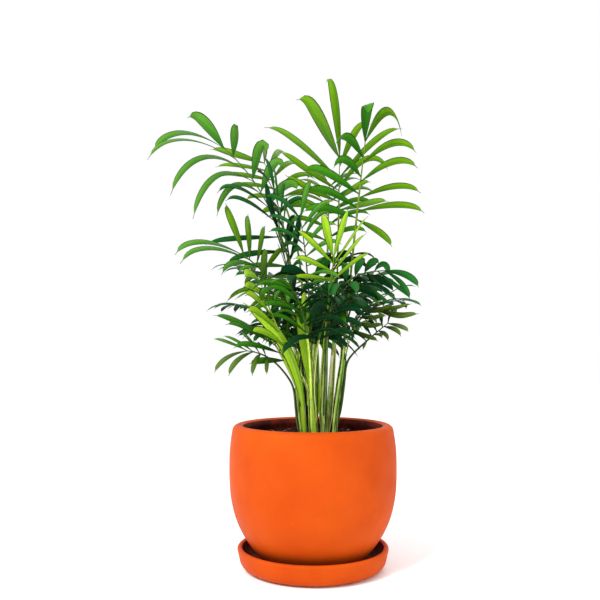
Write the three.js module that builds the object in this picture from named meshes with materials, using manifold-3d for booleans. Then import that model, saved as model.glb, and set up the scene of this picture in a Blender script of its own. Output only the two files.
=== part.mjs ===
// A young parlour palm in a round terracotta pot that stands in its saucer.
// Millimetres, +Z up. The origin is the middle of the saucer's flat underside,
// -Y is the plant's front and +X its right.
import * as THREE from 'three';
import { mergeVertices } from 'three/addons/utils/BufferGeometryUtils.js';
import Module from 'manifold-3d';

const wasm = await Module();
wasm.setup();

// Driving dimensions.

const seatGap = 0.3; // clearance between pieces that rest on each other
const roundSides = 40; // facets round the pot and the saucer

const saucer = {
  underside: 55, // radius of the flat that the whole part stands on
  wallRadius: 71.9,
  wallDraft: 2.2, // how much narrower the wall is where its round corner starts
  cornerRise: 9,
  crest: 21,
  lip: 2.5, // radius of the rounded rim
  floor: 7, // top of the floor
  floorRadius: 54,
  insideCorner: 8,
};

const pot = {
  foot: saucer.floor + seatGap,
  footRadius: 46,
  footRing: 38, // inner radius of the ring that the pot stands on
  footRecess: 2,
  footBevel: 1.5,
  drain: 6, // radius of the hole in the floor
  floor: 9, // thickness of the floor
  belly: 80,
  bellyHeight: 100,
  bellyPower: 2.9,
  wall: 9,
  insideCorner: 5,
  crest: 135,
  lip: 6.2,
  lipCentre: 71.2, // radius at which the rounded lip is centred
};

const soil = {
  level: 124,
  edgeDrop: 1.5, // how far the surface falls away beside the wall
  edgeWidth: 7.5,
  sideGap: 0.8,
};

// The canes stand in a sunflower spiral, each leaning out from the middle.
const clump = {
  centre: new THREE.Vector2(4, 2),
  radius: 21,
  firstTurn: 100, // degrees
  goldenTurn: 137.5,
  lean: 0.17, // sideways travel for each millimetre of height, at the clump's edge
  heights: [92, 80, 86, 70, 84, 76, 46, 72, 78, 44, 74],
  footRadius: 4.1,
  topRadius: 3.2,
  swells: [1.12, 1, 1.09, 1, 1], // girth from the foot, past one leaf scar, to the top
  sides: 7,
};

const stalk = {
  seatRadius: 1.9, // distance of a stalk's foot from the middle of its cane's top
  footRadius: 1.25,
  tipRadius: 0.7,
  steps: 8,
  sides: 4,
};

const leaflet = {
  thickness: 1.1,
  rootWidth: 1, // the root is narrow, so that it lies inside the rib
  rootThickness: 0.5,
  stations: [0.3, 0.7], // where the blade is widest and where its point starts
  widths: [1, 0.82],
  steps: 10, // steps in which the droop is worked out
  limpness: 1.35, // how steeply a droop of 1 pulls the tip down
  stagger: 0.25, // how much higher one leaflet of each pair stands, as a share of the pairs' distance
  endBroad: 0.35, // extra width of the last pair
  wobble: { turn: 5, tilt: 12, sag: 0.12, length: 0.07 },
  clearance: 0.3,
};

// Where a leaflet would touch another frond it is turned, bent or shortened a little.
const fallbacks = [1, 0.78].flatMap((length) => [
  { turn: 0, sag: 0, length },
  { turn: 7, sag: 0, length },
  { turn: -7, sag: 0, length },
  { turn: 0, sag: 0.4, length },
  { turn: 0, sag: -0.3, length },
  { turn: 14, sag: 0.2, length },
  { turn: -14, sag: 0.2, length },
]);

const frondDefaults = {
  heading: 0, // compass direction of the rib, degrees from +X
  reach: 60, // how far the tip stands out from the foot
  rise: 80, // how far the tip stands above the foot
  bow: [0.2, 0.85], // share of reach and rise at the curve's middle handle
  bend: 0, // how far that handle stands sideways
  roll: 0, // turn of the whole blade about its rib
  bare: 0.5, // share of the rib that carries no leaflets
  pairs: 7,
  leaf: [45, 8], // length and width of the longest leaflet
  short: [0.3, 0.05], // shortening at the blade's lower end and at its tip
  spread: [66, 36], // angle from the rib at the lower end and at the tip
  sway: [0, 0], // added to the angle on one side and taken off it on the other
  lift: [10, 8], // angle above the blade's plane
  droop: [0.7, 0.7], // how much weight pulls the leaflets down
  tug: 0, // droop added on one side and taken off the other
  gather: 1, // above 1 the leaflets stand closer together at the blade's lower end
  unruly: 1, // how much more than usual the leaflets' angles differ
  own: {}, // what single leaflets do differently, numbered in pairs from the tip down
};

const plainLeaflet = { turn: 0, lift: 0, tilt: 0, sag: 0, length: 1, width: 1 };

// Postures that several leaflets share.
const hanging = { turn: -25, lift: 60, tilt: 25, sag: 0.5, length: 0.55, width: 1.6 };
const curled = { turn: -35, lift: 45, tilt: 25, sag: 0.3, length: 0.4, width: 1.2 };
const flung = { lift: -55, tilt: -30, sag: -0.2, length: 0.75, width: 0.7 };

// How the fronds in the thick of the clump hang.
const drooping = {
  leaf: [50, 8], short: [0.15, 0.1], spread: [60, 25], lift: [0, 0], droop: [1.3, 1], unruly: 3,
};

// Each frond: its name, its cane, its place on the cane's top and what differs from the defaults.
const fronds = [
  ['frond_front_tall', 7, 2, {
    heading: -75, reach: 65, rise: 195, bow: [-0.1, 0.45], bend: -10, roll: 20, bare: 0.65, pairs: 6,
    gather: 1.4, leaf: [65, 8], short: [0.3, -0.1], spread: [95, 10], sway: [-5, -5], lift: [30, -25],
    droop: [0.5, 1.5], tug: -0.2,
    own: {
      0: { turn: 5, sag: -0.3, length: 0.8 },
      1: { turn: 5, sag: 0.8 },
      2: { turn: 15, length: 0.7 },
      3: { turn: 10 },
      4: { sag: 0.3, length: 0.6 },
      5: { turn: -10 },
      6: { turn: 10, sag: -0.7 },
      7: { turn: -5 },
      8: { turn: -5, sag: -0.4 },
      9: { turn: -10, length: 1.2 },
      10: { sag: -0.2, length: 1.3 },
      11: { turn: -5, length: 1.1 },
    },
  }],
  ['frond_back_tall', 2, 0, {
    heading: 80, reach: 40, rise: 195, bow: [0.6, 0.45], roll: -10, bare: 0.7, pairs: 6,
    leaf: [85, 8.5], short: [0.45, -0.25], spread: [100, 5], sway: [-10, -15], lift: [20, -25],
    droop: [-0.2, 0.5], tug: -0.2,
    own: {
      1: { turn: 5, width: 1.5 },
      2: { turn: 10, length: 0.7 },
      3: { length: 0 },
      4: { turn: 15, sag: -0.2, length: 1.1 },
      5: { turn: -10, sag: 0.2, length: 1.2 },
      6: { turn: -15, sag: 1 },
      7: { turn: -20 },
      8: { turn: -15, length: 0.6 },
      9: { turn: -15 },
      10: { length: 1.1 },
      11: { turn: -20 },
    },
  }],
  ['frond_left_arch', 3, 2, {
    heading: 160, reach: 85, rise: 220, bow: [0.15, 0.7], bend: 20, roll: 15, bare: 0.4, pairs: 10,
    leaf: [90, 7.5], short: [0.35, -0.2], spread: [95, 45], sway: [30, -10], lift: [0, 10], droop: [0.7, 1],
    tug: 0.4,
    own: {
      0: { turn: -55, lift: -80, tilt: 60, length: 0.5, width: 1.4 },
      1: { turn: 5, sag: -0.2, length: 0.9 },
      2: { ...hanging, turn: 5, sag: -0.4, length: 0.35, width: 1.3 },
      3: { turn: 10, sag: -0.6, length: 1.2 },
      4: { length: 0 },
      5: { turn: 15, sag: 0.4, length: 1.3 },
      6: { ...hanging, turn: -15 },
      7: { turn: 15, sag: 1, length: 1.3 },
      8: hanging,
      9: { sag: 1.3 },
      10: hanging,
      11: { turn: -10, sag: -0.4, length: 0.9, width: 0.8 },
      12: { ...hanging, turn: -30, width: 0.8 },
      13: { turn: -5, sag: -0.6, width: 0.8 },
      14: { turn: -120, lift: -30, tilt: -80, sag: -2, length: 0.75 },
      15: { turn: 20, lift: -30, sag: -1, length: 1.1 },
      16: { ...hanging, turn: -80, lift: 75, sag: -0.6, width: 1.3 },
      17: { turn: 15, lift: -30, sag: -0.8 },
      18: { turn: -90, lift: 80, tilt: 35, sag: -1.8, length: 0.9 },
      19: { turn: 10, lift: -30, sag: -0.8 },
    },
  }],
  ['frond_back_left_tall', 8, 1, {
    heading: 120, reach: 80, rise: 210, bow: [0.1, 0.55], bend: 20, roll: 20, bare: 0.7, pairs: 6,
    leaf: [65, 8], short: [0.55, -0.15], spread: [90, 30], sway: [5, -5], lift: [20, -25], droop: [0.8, 0.3],
    tug: -0.2,
  }],
  ['frond_left_middle', 1, 2, {
    heading: -160, reach: 65, rise: 90, bow: [0.45, 0.75], bend: -5, roll: 40, bare: 0.7, pairs: 5,
    leaf: [80, 7], short: [0.5, 0.1], spread: [95, 40], sway: [10, 20], lift: [10, 10], droop: [0.4, 0.4],
    tug: 0.3, own: { 2: { width: 1.2 }, 3: { length: 1.3 } },
  }],
  ['frond_right_arch', 4, 1, {
    heading: -30, reach: 60, rise: 70, bow: [0, 1.05], bend: 5, roll: -45, bare: 0.45, pairs: 7,
    leaf: [60, 8.5], short: [0.3, 0.2], spread: [95, 65], sway: [5, -20], lift: [10, -20], droop: [-0.2, 0.7],
    tug: 0.4,
    own: {
      0: { ...flung, turn: -15, sag: 1 },
      1: { turn: -65, lift: -30, tilt: -85, length: 0.8, width: 0.8 },
      2: { ...flung, turn: -10 },
      3: { ...curled, sag: 1.5, width: 0.9 },
      4: { ...flung, turn: 5 },
      5: curled,
      6: { ...flung, turn: -5 },
      7: curled,
      8: { ...flung, turn: 25, sag: -1, width: 1.1 },
      9: { ...curled, turn: -30 },
    },
  }],
  ['frond_left_low', 6, 0, {
    heading: -150, reach: 50, rise: 35, bow: [0.6, 1], bend: -15, roll: 35, bare: 0.7, pairs: 4,
    leaf: [45, 6], short: [0.45, 0.1], spread: [75, 40], sway: [0, 15], lift: [5, 5], droop: [0.8, 0.4],
    tug: 0.4,
  }],
  ['frond_left_lime', 9, 2, {
    heading: -145, reach: 55, rise: 100, bow: [0.65, 0.55], bend: 5, roll: 50, bare: 0.4, pairs: 5,
    leaf: [60, 9.5], short: [-0.3, 0.2], spread: [55, 60], sway: [20, 0], lift: [5, 5], droop: [0.2, 0.3],
  }],
  ['frond_left_dark', 6, 1, {
    heading: 175, reach: 25, rise: 45, bow: [0.7, 0.85], bend: -5, roll: 30, bare: 0.55, pairs: 4,
    leaf: [70, 8], short: [0.25, 0.1], spread: [65, 35], sway: [-5, 0], lift: [5, 10], droop: [0.2, 0.2],
  }],
  ['frond_young_fan', 4, 2, {
    heading: -80, reach: 45, rise: 80, bow: [0.15, 0.65], bend: -5, roll: -20, bare: 0.7, pairs: 4,
    leaf: [55, 7], short: [0.2, 0], spread: [65, 15], sway: [10, 5], lift: [-5, 15], droop: [0.2, 0],
    own: { 0: { turn: -5, length: 1.2 }, 2: { length: 1.2 }, 7: { turn: -10 } },
  }],
  ['frond_middle_upright', 0, 1, {
    heading: -95, reach: 20, rise: 55, bow: [0.3, 0.6], pairs: 5, leaf: [50, 7.5], short: [0.2, 0.2],
    spread: [75, 35], sway: [10, 10], lift: [5, 0], droop: [1.2, 0.8], unruly: 3,
  }],
  ['frond_right_low', 10, 2, {
    heading: -50, reach: 40, rise: 50, bow: [0.55, 0.95], bend: 5, roll: -50, bare: 0.45, pairs: 6,
    leaf: [55, 5.5], short: [0.1, -0.1], spread: [75, 55], sway: [0, -25], lift: [-25, -15], droop: [0.4, 0],
    tug: 0.5,
  }],
  ['frond_right_small', 7, 0, {
    heading: -10, reach: 40, rise: 35, bow: [0.6, 0.65], roll: -30, bare: 0.5, pairs: 5,
    leaf: [40, 5], short: [0.2, 0], spread: [90, 65], sway: [-5, 5], lift: [30, 5], droop: [0.9, 0.6],
    tug: 0.4,
  }],
  ['frond_back_upright', 5, 2, {
    heading: 85, reach: 70, rise: 185, bow: [0.15, 0.7], bare: 0.6, pairs: 6, leaf: [60, 8],
  }],
  ['frond_back_far', 8, 2, {
    heading: 100, reach: 95, rise: 85, bow: [0.2, 0.85], bare: 0.55, leaf: [50, 8],
  }],
  ['frond_back_right_far', 5, 0, {
    heading: 65, reach: 85, rise: 75, bare: 0.55, leaf: [50, 8],
  }],
  ['frond_back_left_low', 8, 0, {
    heading: 140, reach: 75, rise: 90, bow: [0.2, 0.8], pairs: 6,
  }],
  ['frond_back_low', 5, 1, { heading: 110, reach: 60, rise: 65, pairs: 6 }],
  ['frond_back_right', 10, 1, { heading: 50, reach: 55, rise: 85, bow: [0.2, 0.8], pairs: 6 }],
  ['frond_front_middle', 9, 0, {
    heading: -110, reach: 45, rise: 90, bow: [0.1, 0.75], pairs: 6, ...drooping, leaf: [55, 8],
  }],
  ['frond_front_right', 4, 0, {
    heading: -60, reach: 35, rise: 55, bow: [0.15, 0.9], bare: 0.45, ...drooping, spread: [60, 30],
  }],
  ['frond_front_left', 1, 0, {
    heading: -140, reach: 45, rise: 55, bow: [0.15, 0.85], pairs: 6, ...drooping,
  }],
  ['frond_front_low', 9, 1, {
    heading: -60, reach: 40, rise: 80, bow: [0.15, 0.85], pairs: 6, ...drooping,
  }],
  ['frond_left_short', 3, 0, {
    heading: 165, reach: 60, rise: 55, bow: [0.2, 0.9], pairs: 6, leaf: [40, 7],
  }],
  ['frond_right_short', 10, 0, {
    heading: 10, reach: 45, rise: 55, bow: [0.2, 0.9], pairs: 6, leaf: [40, 6.5],
  }],
  ['frond_inner_right', 2, 2, {
    heading: -45, reach: 25, rise: 60, bow: [0.2, 0.9], pairs: 5, ...drooping,
  }],
  ['frond_inner_left', 0, 0, {
    heading: -175, reach: 30, rise: 80, bow: [0.75, 0.5], pairs: 5, leaf: [45, 7], spread: [50, 20],
    lift: [0, 0], droop: [0.4, 0.2], unruly: 2,
  }],
  ['frond_inner_middle', 0, 2, {
    heading: -40, reach: 20, rise: 70, bow: [0.2, 0.8], pairs: 5, ...drooping,
  }],
];

// Finishes.

const terracotta = new THREE.MeshStandardMaterial({ color: '#d9531e', roughness: 0.62, metalness: 0 });
const pottingMix = new THREE.MeshStandardMaterial({ color: '#2b1a17', roughness: 0.95, metalness: 0 });
const greenCane = new THREE.MeshStandardMaterial({ color: '#9db84a', roughness: 0.5, metalness: 0 });
const greenLeaf = new THREE.MeshStandardMaterial({ color: '#2f7a24', roughness: 0.45, metalness: 0 });

// Closed solids.

const up = new THREE.Vector3(0, 0, 1);
const radians = THREE.MathUtils.degToRad;
const mix = ([start, end], share) => start + (end - start) * share;

function signedVolume(position, index) {
  const a = new THREE.Vector3();
  const b = new THREE.Vector3();
  const c = new THREE.Vector3();
  let sum = 0;
  for (let i = 0; i < index.length; i += 3) {
    a.fromArray(position, index[i] * 3);
    b.fromArray(position, index[i + 1] * 3);
    c.fromArray(position, index[i + 2] * 3);
    sum += a.dot(b.cross(c)) / 6;
  }
  return sum;
}

// A manifold from a closed geometry, with corners merged and faces turned outwards.
function solidFrom(geometry) {
  geometry.deleteAttribute('normal');
  geometry.deleteAttribute('uv');
  const merged = mergeVertices(geometry, 1e-4);
  const corners = merged.attributes.position.array;
  const faces = [];
  for (let i = 0; i < merged.index.count; i += 3) {
    const [a, b, c] = merged.index.array.slice(i, i + 3);
    if (a !== b && b !== c && c !== a) faces.push(a, b, c);
  }
  if (signedVolume(corners, faces) < 0) faces.reverse();
  return new wasm.Manifold(new wasm.Mesh({
    numProp: 3,
    vertProperties: new Float32Array(corners),
    triVerts: new Uint32Array(faces),
  }));
}

// A body through a row of rings with equal corners. Its ends are flat, or the last is a point.
function loft(rings) {
  const sides = rings[0].length;
  const faces = [];
  for (let side = 1; side < sides - 1; side++) faces.push(0, side, side + 1);
  for (let ring = 0; ring < rings.length - 1; ring++) {
    const low = ring * sides;
    const high = low + sides;
    const pointed = rings[ring + 1].length === 1;
    for (let side = 0; side < sides; side++) {
      const next = (side + 1) % sides;
      if (pointed) {
        faces.push(low + next, low + side, high);
      } else {
        faces.push(low + next, low + side, high + side);
        faces.push(low + next, high + side, high + next);
      }
    }
  }
  const last = rings.at(-1);
  if (last.length > 1) {
    const start = (rings.length - 1) * sides;
    for (let side = 1; side < sides - 1; side++) faces.push(start, start + side + 1, start + side);
  }
  const geometry = new THREE.BufferGeometry();
  geometry.setFromPoints(rings.flat());
  geometry.setIndex(faces);
  return solidFrom(geometry);
}

function turned(profile) {
  const geometry = new THREE.LatheGeometry(profile, roundSides);
  geometry.rotateX(Math.PI / 2);
  return solidFrom(geometry);
}

function namedMesh(name, solid, material) {
  const { vertProperties, triVerts } = solid.getMesh();
  const geometry = new THREE.BufferGeometry();
  geometry.setAttribute('position', new THREE.BufferAttribute(vertProperties, 3));
  geometry.setIndex(new THREE.BufferAttribute(triVerts, 1));
  geometry.computeVertexNormals();
  const mesh = new THREE.Mesh(geometry, material);
  mesh.name = name;
  return mesh;
}

// Pot, saucer and soil.

const point = (radius, height) => new THREE.Vector2(radius, height);

function arcPoints(centre, radius, from, to, steps) {
  return Array.from({ length: steps + 1 }, (_, i) => {
    const angle = radians(from + ((to - from) * i) / steps);
    return point(centre.x + radius * Math.cos(angle), centre.y + radius * Math.sin(angle));
  });
}

function saucerProfile() {
  const lipCentre = point(saucer.wallRadius - saucer.lip, saucer.crest - saucer.lip);
  const corner = new THREE.QuadraticBezierCurve(
    point(saucer.underside, 0),
    point(saucer.wallRadius - 2 * saucer.wallDraft, 0),
    point(saucer.wallRadius - saucer.wallDraft, saucer.cornerRise),
  );
  const inside = new THREE.QuadraticBezierCurve(
    point(lipCentre.x - saucer.lip, lipCentre.y - saucer.lip / 2),
    point(saucer.floorRadius + saucer.insideCorner, saucer.floor),
    point(saucer.floorRadius, saucer.floor),
  );
  return [
    point(0, 0),
    ...corner.getPoints(4),
    ...arcPoints(lipCentre, saucer.lip, 0, 180, 4),
    ...inside.getPoints(3),
    point(0, saucer.floor),
  ];
}

function potOuter(height) {
  if (height <= pot.bellyHeight) {
    const depth = (pot.bellyHeight - height) / (pot.bellyHeight - pot.foot);
    return pot.belly - (pot.belly - pot.footRadius) * depth ** pot.bellyPower;
  }
  const lipHeight = pot.crest - pot.lip;
  const climb = (height - pot.bellyHeight) / (lipHeight - pot.bellyHeight);
  return pot.belly - (pot.belly - pot.lipCentre - pot.lip) * climb ** 2;
}

function potInner(height, clearance = 0) {
  const lipHeight = pot.crest - pot.lip;
  const below = Math.min((lipHeight - height) / (lipHeight - pot.bellyHeight), 1);
  const overhang = (potOuter(lipHeight) - pot.wall - (pot.lipCentre - pot.lip)) * (1 - below) ** 2;
  return potOuter(height) - pot.wall - overhang - clearance;
}

function spaced(from, to, steps) {
  return Array.from({ length: steps + 1 }, (_, i) => from + ((to - from) * i) / steps);
}

function potProfile() {
  const lipHeight = pot.crest - pot.lip;
  const insideFloor = pot.foot + pot.floor;
  const onOuter = (height) => point(potOuter(height), height);
  const onInner = (height) => point(potInner(height), height);
  const ring = [
    point(pot.drain, pot.foot + pot.footRecess),
    point(pot.footRing, pot.foot + pot.footRecess),
    point(pot.footRing + pot.footBevel, pot.foot),
    point(pot.footRadius - pot.footBevel, pot.foot),
    ...spaced(pot.foot + pot.footBevel, lipHeight - pot.lip / 2, 8).map(onOuter),
    ...arcPoints(point(pot.lipCentre, lipHeight), pot.lip, 0, 180, 6),
    ...spaced(lipHeight - pot.lip / 2, insideFloor + pot.insideCorner, 5).map(onInner),
    point(potInner(insideFloor) - pot.insideCorner, insideFloor),
    point(pot.drain, insideFloor),
  ];
  return [...ring, ring[0]];
}

function soilProfile() {
  const bottom = pot.foot + pot.floor + seatGap;
  const edge = soil.level - soil.edgeDrop;
  const besideWall = (height) => point(potInner(height, soil.sideGap), height);
  return [
    point(0, bottom),
    point(potInner(bottom, pot.insideCorner + soil.sideGap), bottom),
    ...spaced(bottom + pot.insideCorner, edge, 5).map(besideWall),
    point(potInner(soil.level, soil.edgeWidth), soil.level),
    point(0, soil.level),
  ];
}

// Canes.

function caneLine(number) {
  const angle = radians(clump.firstTurn + clump.goldenTurn * number);
  const outward = Math.sqrt((number + 0.5) / clump.heights.length);
  const direction = new THREE.Vector3(Math.cos(angle), Math.sin(angle), 0);
  const foot = direction.clone().multiplyScalar(clump.radius * outward);
  foot.add(new THREE.Vector3(clump.centre.x, clump.centre.y, soil.level + seatGap));
  const height = clump.heights[number];
  const top = foot.clone().addScaledVector(direction, clump.lean * outward * height);
  top.z = soil.level + height;
  return { foot, top, angle };
}

function caneSolid(number) {
  const { foot, top } = caneLine(number);
  const rings = clump.swells.map((swell, i) => {
    const share = i / (clump.swells.length - 1);
    const radius = mix([clump.footRadius, clump.topRadius], share) * swell;
    const middle = foot.clone().lerp(top, share);
    return Array.from({ length: clump.sides }, (_, side) => {
      const angle = (side / clump.sides) * 2 * Math.PI;
      return middle.clone().add(new THREE.Vector3(Math.cos(angle) * radius, Math.sin(angle) * radius, 0));
    });
  });
  return loft(rings);
}

// Fronds.

// A repeatable value from -1 to 1 for each leaflet, so that no two are quite alike.
function wobble(frond, leaf, kind) {
  const wave = Math.sin(12.9898 * frond + 78.233 * leaf + 37.719 * kind) * 4375.85;
  return (wave - Math.floor(wave)) * 2 - 1;
}

function frondShape([name, cane, seat, differences], number) {
  const shape = { ...frondDefaults, ...differences, name, number };
  const { top, angle } = caneLine(cane);
  const seatAngle = angle + radians(120 * seat);
  const offset = new THREE.Vector3(Math.cos(seatAngle), Math.sin(seatAngle), 0);
  const heading = radians(shape.heading);
  shape.foot = top.clone().addScaledVector(offset, stalk.seatRadius).addScaledVector(up, seatGap);
  shape.outward = new THREE.Vector3(Math.cos(heading), Math.sin(heading), 0);
  shape.across = new THREE.Vector3(Math.sin(heading), -Math.cos(heading), 0);
  const along = (reach, rise) => (
    shape.foot.clone().addScaledVector(shape.outward, reach).addScaledVector(up, rise));
  const handle = along(shape.reach * shape.bow[0], shape.rise * shape.bow[1]);
  handle.addScaledVector(shape.across, shape.bend);
  shape.curve = new THREE.QuadraticBezierCurve3(shape.foot, handle, along(shape.reach, shape.rise));
  shape.curve.arcLengthDivisions = 80;
  return shape;
}

// One direction tipped towards another, by an angle in radians.
function tipped(direction, towards, angle) {
  return direction.clone().multiplyScalar(Math.cos(angle)).addScaledVector(towards, Math.sin(angle));
}

// The rib's point, direction, sideways axis and upper side at a share of its length.
function ribFrame(shape, share) {
  const origin = shape.curve.getPointAt(share);
  const forward = shape.curve.getTangentAt(share);
  const face = shape.across.clone().cross(forward);
  const roll = radians(shape.roll);
  const side = tipped(shape.across, face, roll);
  const upper = tipped(face, shape.across, -roll);
  return { origin, forward, side, upper };
}

function ribSolid(shape) {
  const rings = spaced(0, 1, stalk.steps).map((share) => {
    const radius = mix([stalk.footRadius, stalk.tipRadius], share);
    const { origin, forward, upper, side } = ribFrame(shape, share);
    const level = share === 0;
    const square = side.clone().addScaledVector(forward, -side.dot(forward)).normalize();
    const first = level ? shape.outward : upper;
    const second = level ? shape.across : square;
    return Array.from({ length: stalk.sides }, (_, i) => {
      const angle = (i / stalk.sides) * 2 * Math.PI;
      return origin.clone()
        .addScaledVector(first, Math.cos(angle) * radius * (level ? -1 : 1))
        .addScaledVector(second, Math.sin(angle) * radius);
    });
  });
  return loft(rings);
}

// The middle line and upper side of one leaflet, which leaves the rib and droops towards its tip.
function leafletLine(shape, share, hand, leafNumber, change) {
  const rib = ribFrame(shape, shape.bare + (1 - shape.bare) * share ** shape.gather);
  const vary = (kind, size) => wobble(shape.number, leafNumber, kind) * size;
  const away = mix(shape.spread, share) + hand * mix(shape.sway, share);
  const turn = radians(away + change.turn + vary(1, leaflet.wobble.turn) * shape.unruly);
  const lift = radians(mix(shape.lift, share) + change.lift);
  const tilt = radians(change.tilt + vary(2, leaflet.wobble.tilt) * shape.unruly);
  const droop = mix(shape.droop, share) - hand * shape.tug + change.sag + vary(3, leaflet.wobble.sag);
  const shortening = shape.short[0] * (1 - share) ** 2 + shape.short[1] * share ** 3;
  const length = shape.leaf[0] * (1 - shortening) * change.length * (1 + vary(4, leaflet.wobble.length));
  const flank = rib.side.clone().multiplyScalar(hand);
  const start = tipped(rib.forward, tipped(flank, rib.upper, lift), turn);
  const face = tipped(rib.upper, flank, -lift).applyAxisAngle(start, tilt);
  const points = [rib.origin.clone()];
  const faces = [face.clone()];
  const directions = [start];
  for (let step = 0; step < leaflet.steps; step++) {
    const sag = droop * leaflet.limpness * ((step + 0.5) / leaflet.steps) ** 2;
    const direction = start.clone().addScaledVector(up, -sag).normalize();
    points.push(points.at(-1).clone().addScaledVector(direction, length / leaflet.steps));
    face.addScaledVector(direction, -face.dot(direction)).normalize();
    faces.push(face.clone());
    directions.push(direction);
  }
  return { points, faces, directions };
}

function leafletSolid(shape, share, hand, leafNumber, change) {
  const { points, faces, directions } = leafletLine(shape, share, hand, leafNumber, change);
  const fullWidth = shape.leaf[1] * change.width * (1 + leaflet.endBroad * share ** 8);
  const section = (at, width, thickness) => {
    const across = directions[at].clone().cross(faces[at]).normalize();
    return [
      points[at].clone().addScaledVector(across, width / 2),
      points[at].clone().addScaledVector(across, -width / 2),
      points[at].clone().addScaledVector(faces[at], thickness),
    ];
  };
  const blade = leaflet.stations.map((station, i) => (
    section(Math.round(station * leaflet.steps), fullWidth * leaflet.widths[i], leaflet.thickness)));
  return loft([section(0, leaflet.rootWidth, leaflet.rootThickness), ...blade, [points.at(-1)]]);
}

// Leaflets that keep clear of everything else.

function boxesApart(first, second, distance) {
  return [0, 1, 2].some((axis) => first.min[axis] > second.max[axis] + distance
    || second.min[axis] > first.max[axis] + distance);
}

function isClear(solid, others) {
  const box = solid.boundingBox();
  return others.every((other) => boxesApart(box, other.box, leaflet.clearance)
    || solid.minGap(other.solid, leaflet.clearance * 1.1) > leaflet.clearance);
}

const boxed = (solid, owner, fork = false) => ({ solid, owner, fork, box: solid.boundingBox() });

function leafletChange(shape, leafNumber, fallback) {
  const own = { ...plainLeaflet, ...shape.own[leafNumber] };
  return {
    turn: own.turn + fallback.turn,
    lift: own.lift,
    tilt: own.tilt,
    sag: own.sag + fallback.sag,
    length: own.length * fallback.length,
    width: own.width,
  };
}

// Leaflets stand in pairs from the lower end of the blade to its tip, which ends in a fork.
function growLeaflets(shape, taken) {
  const ownRib = taken.find((piece) => piece.owner === shape.name);
  for (let leafNumber = 0; leafNumber < shape.pairs * 2; leafNumber++) {
    const pair = shape.pairs - 1 - Math.floor(leafNumber / 2);
    const hand = leafNumber % 2 === 0 ? 1 : -1;
    const fork = pair === shape.pairs - 1;
    const shift = fork || hand < 0 ? 0 : leaflet.stagger;
    const share = (pair + shift) / (shape.pairs - 1);
    const isTwin = (piece) => fork && piece.fork && piece.owner === shape.name;
    if (shape.own[leafNumber]?.length === 0) continue;
    const others = taken.filter((piece) => piece !== ownRib && !isTwin(piece));
    for (const fallback of fallbacks) {
      const change = leafletChange(shape, leafNumber, fallback);
      const solid = leafletSolid(shape, share, hand, leafNumber, change);
      if (isClear(solid, others)) {
        taken.push(boxed(solid, shape.name, fork));
        break;
      }
    }
  }
}

// The whole plant.

const plant = new THREE.Group();
const vessel = [
  ['saucer', turned(saucerProfile()), terracotta],
  ['pot', turned(potProfile()), terracotta],
  ['soil', turned(soilProfile()), pottingMix],
];
const canes = clump.heights.map((_, number) => [`cane_${number + 1}`, caneSolid(number), greenCane]);
for (const [name, solid, material] of [...vessel, ...canes]) plant.add(namedMesh(name, solid, material));

const shapes = fronds.map(frondShape);
const taken = [...vessel, ...canes].map(([name, solid]) => boxed(solid, name));
for (const shape of shapes) taken.push(boxed(ribSolid(shape), shape.name));
for (const shape of shapes) growLeaflets(shape, taken);
for (const shape of shapes) {
  const pieces = taken.filter((piece) => piece.owner === shape.name);
  const joined = pieces.map((piece) => piece.solid).reduce((whole, piece) => whole.add(piece));
  plant.add(namedMesh(shape.name, joined, greenLeaf));
}

export default plant;
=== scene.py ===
import math
import random

import bpy
from mathutils import Euler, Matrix, Quaternion, Vector, noise
from mathutils.bvhtree import BVHTree
from mathutils.kdtree import KDTree


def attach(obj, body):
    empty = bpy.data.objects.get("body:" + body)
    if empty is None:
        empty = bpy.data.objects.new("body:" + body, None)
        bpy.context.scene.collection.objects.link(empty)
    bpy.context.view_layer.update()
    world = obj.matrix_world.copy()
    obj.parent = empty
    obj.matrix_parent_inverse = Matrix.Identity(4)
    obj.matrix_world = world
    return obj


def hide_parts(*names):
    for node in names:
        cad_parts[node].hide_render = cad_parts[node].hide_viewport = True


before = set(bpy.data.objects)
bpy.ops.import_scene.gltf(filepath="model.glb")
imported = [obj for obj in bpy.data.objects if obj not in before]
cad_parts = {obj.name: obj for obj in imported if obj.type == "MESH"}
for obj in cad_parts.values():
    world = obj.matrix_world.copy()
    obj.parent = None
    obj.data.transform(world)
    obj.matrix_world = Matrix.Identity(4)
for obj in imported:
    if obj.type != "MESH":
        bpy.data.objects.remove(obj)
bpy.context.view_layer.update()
print("frame loaded:", len(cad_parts), "nodes")

# The palm is worked out in millimetres, as it was drawn, and goes into Blender in metres.
mm = 0.001
up = Vector((0, 0, 1))


def mix(pair, share):
    return pair[0] + (pair[1] - pair[0]) * share


def ease(low, high, value):
    share = min(max((value - low) / (high - low), 0), 1)
    return share * share * (3 - 2 * share)


def spaced(start, end, steps):
    return [mix((start, end), i / steps) for i in range(steps + 1)]


def turns(sides):
    return [2 * math.pi * side / sides for side in range(sides)]


def level(angle):
    return Vector((math.cos(angle), math.sin(angle), 0))


# helpers for meshes

def cellsOf(bands, sides, start=0):
    # ring, side and corners of each cell between rings that follow each other
    for ring in range(bands):
        for side in range(sides):
            low, after = start + ring * sides, (side + 1) % sides
            yield ring, side, [low + side, low + after, low + sides + after, low + sides + side]


def placed(name, data):
    made = bpy.data.objects.new(name, data)
    bpy.context.scene.collection.objects.link(made)
    return made


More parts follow.
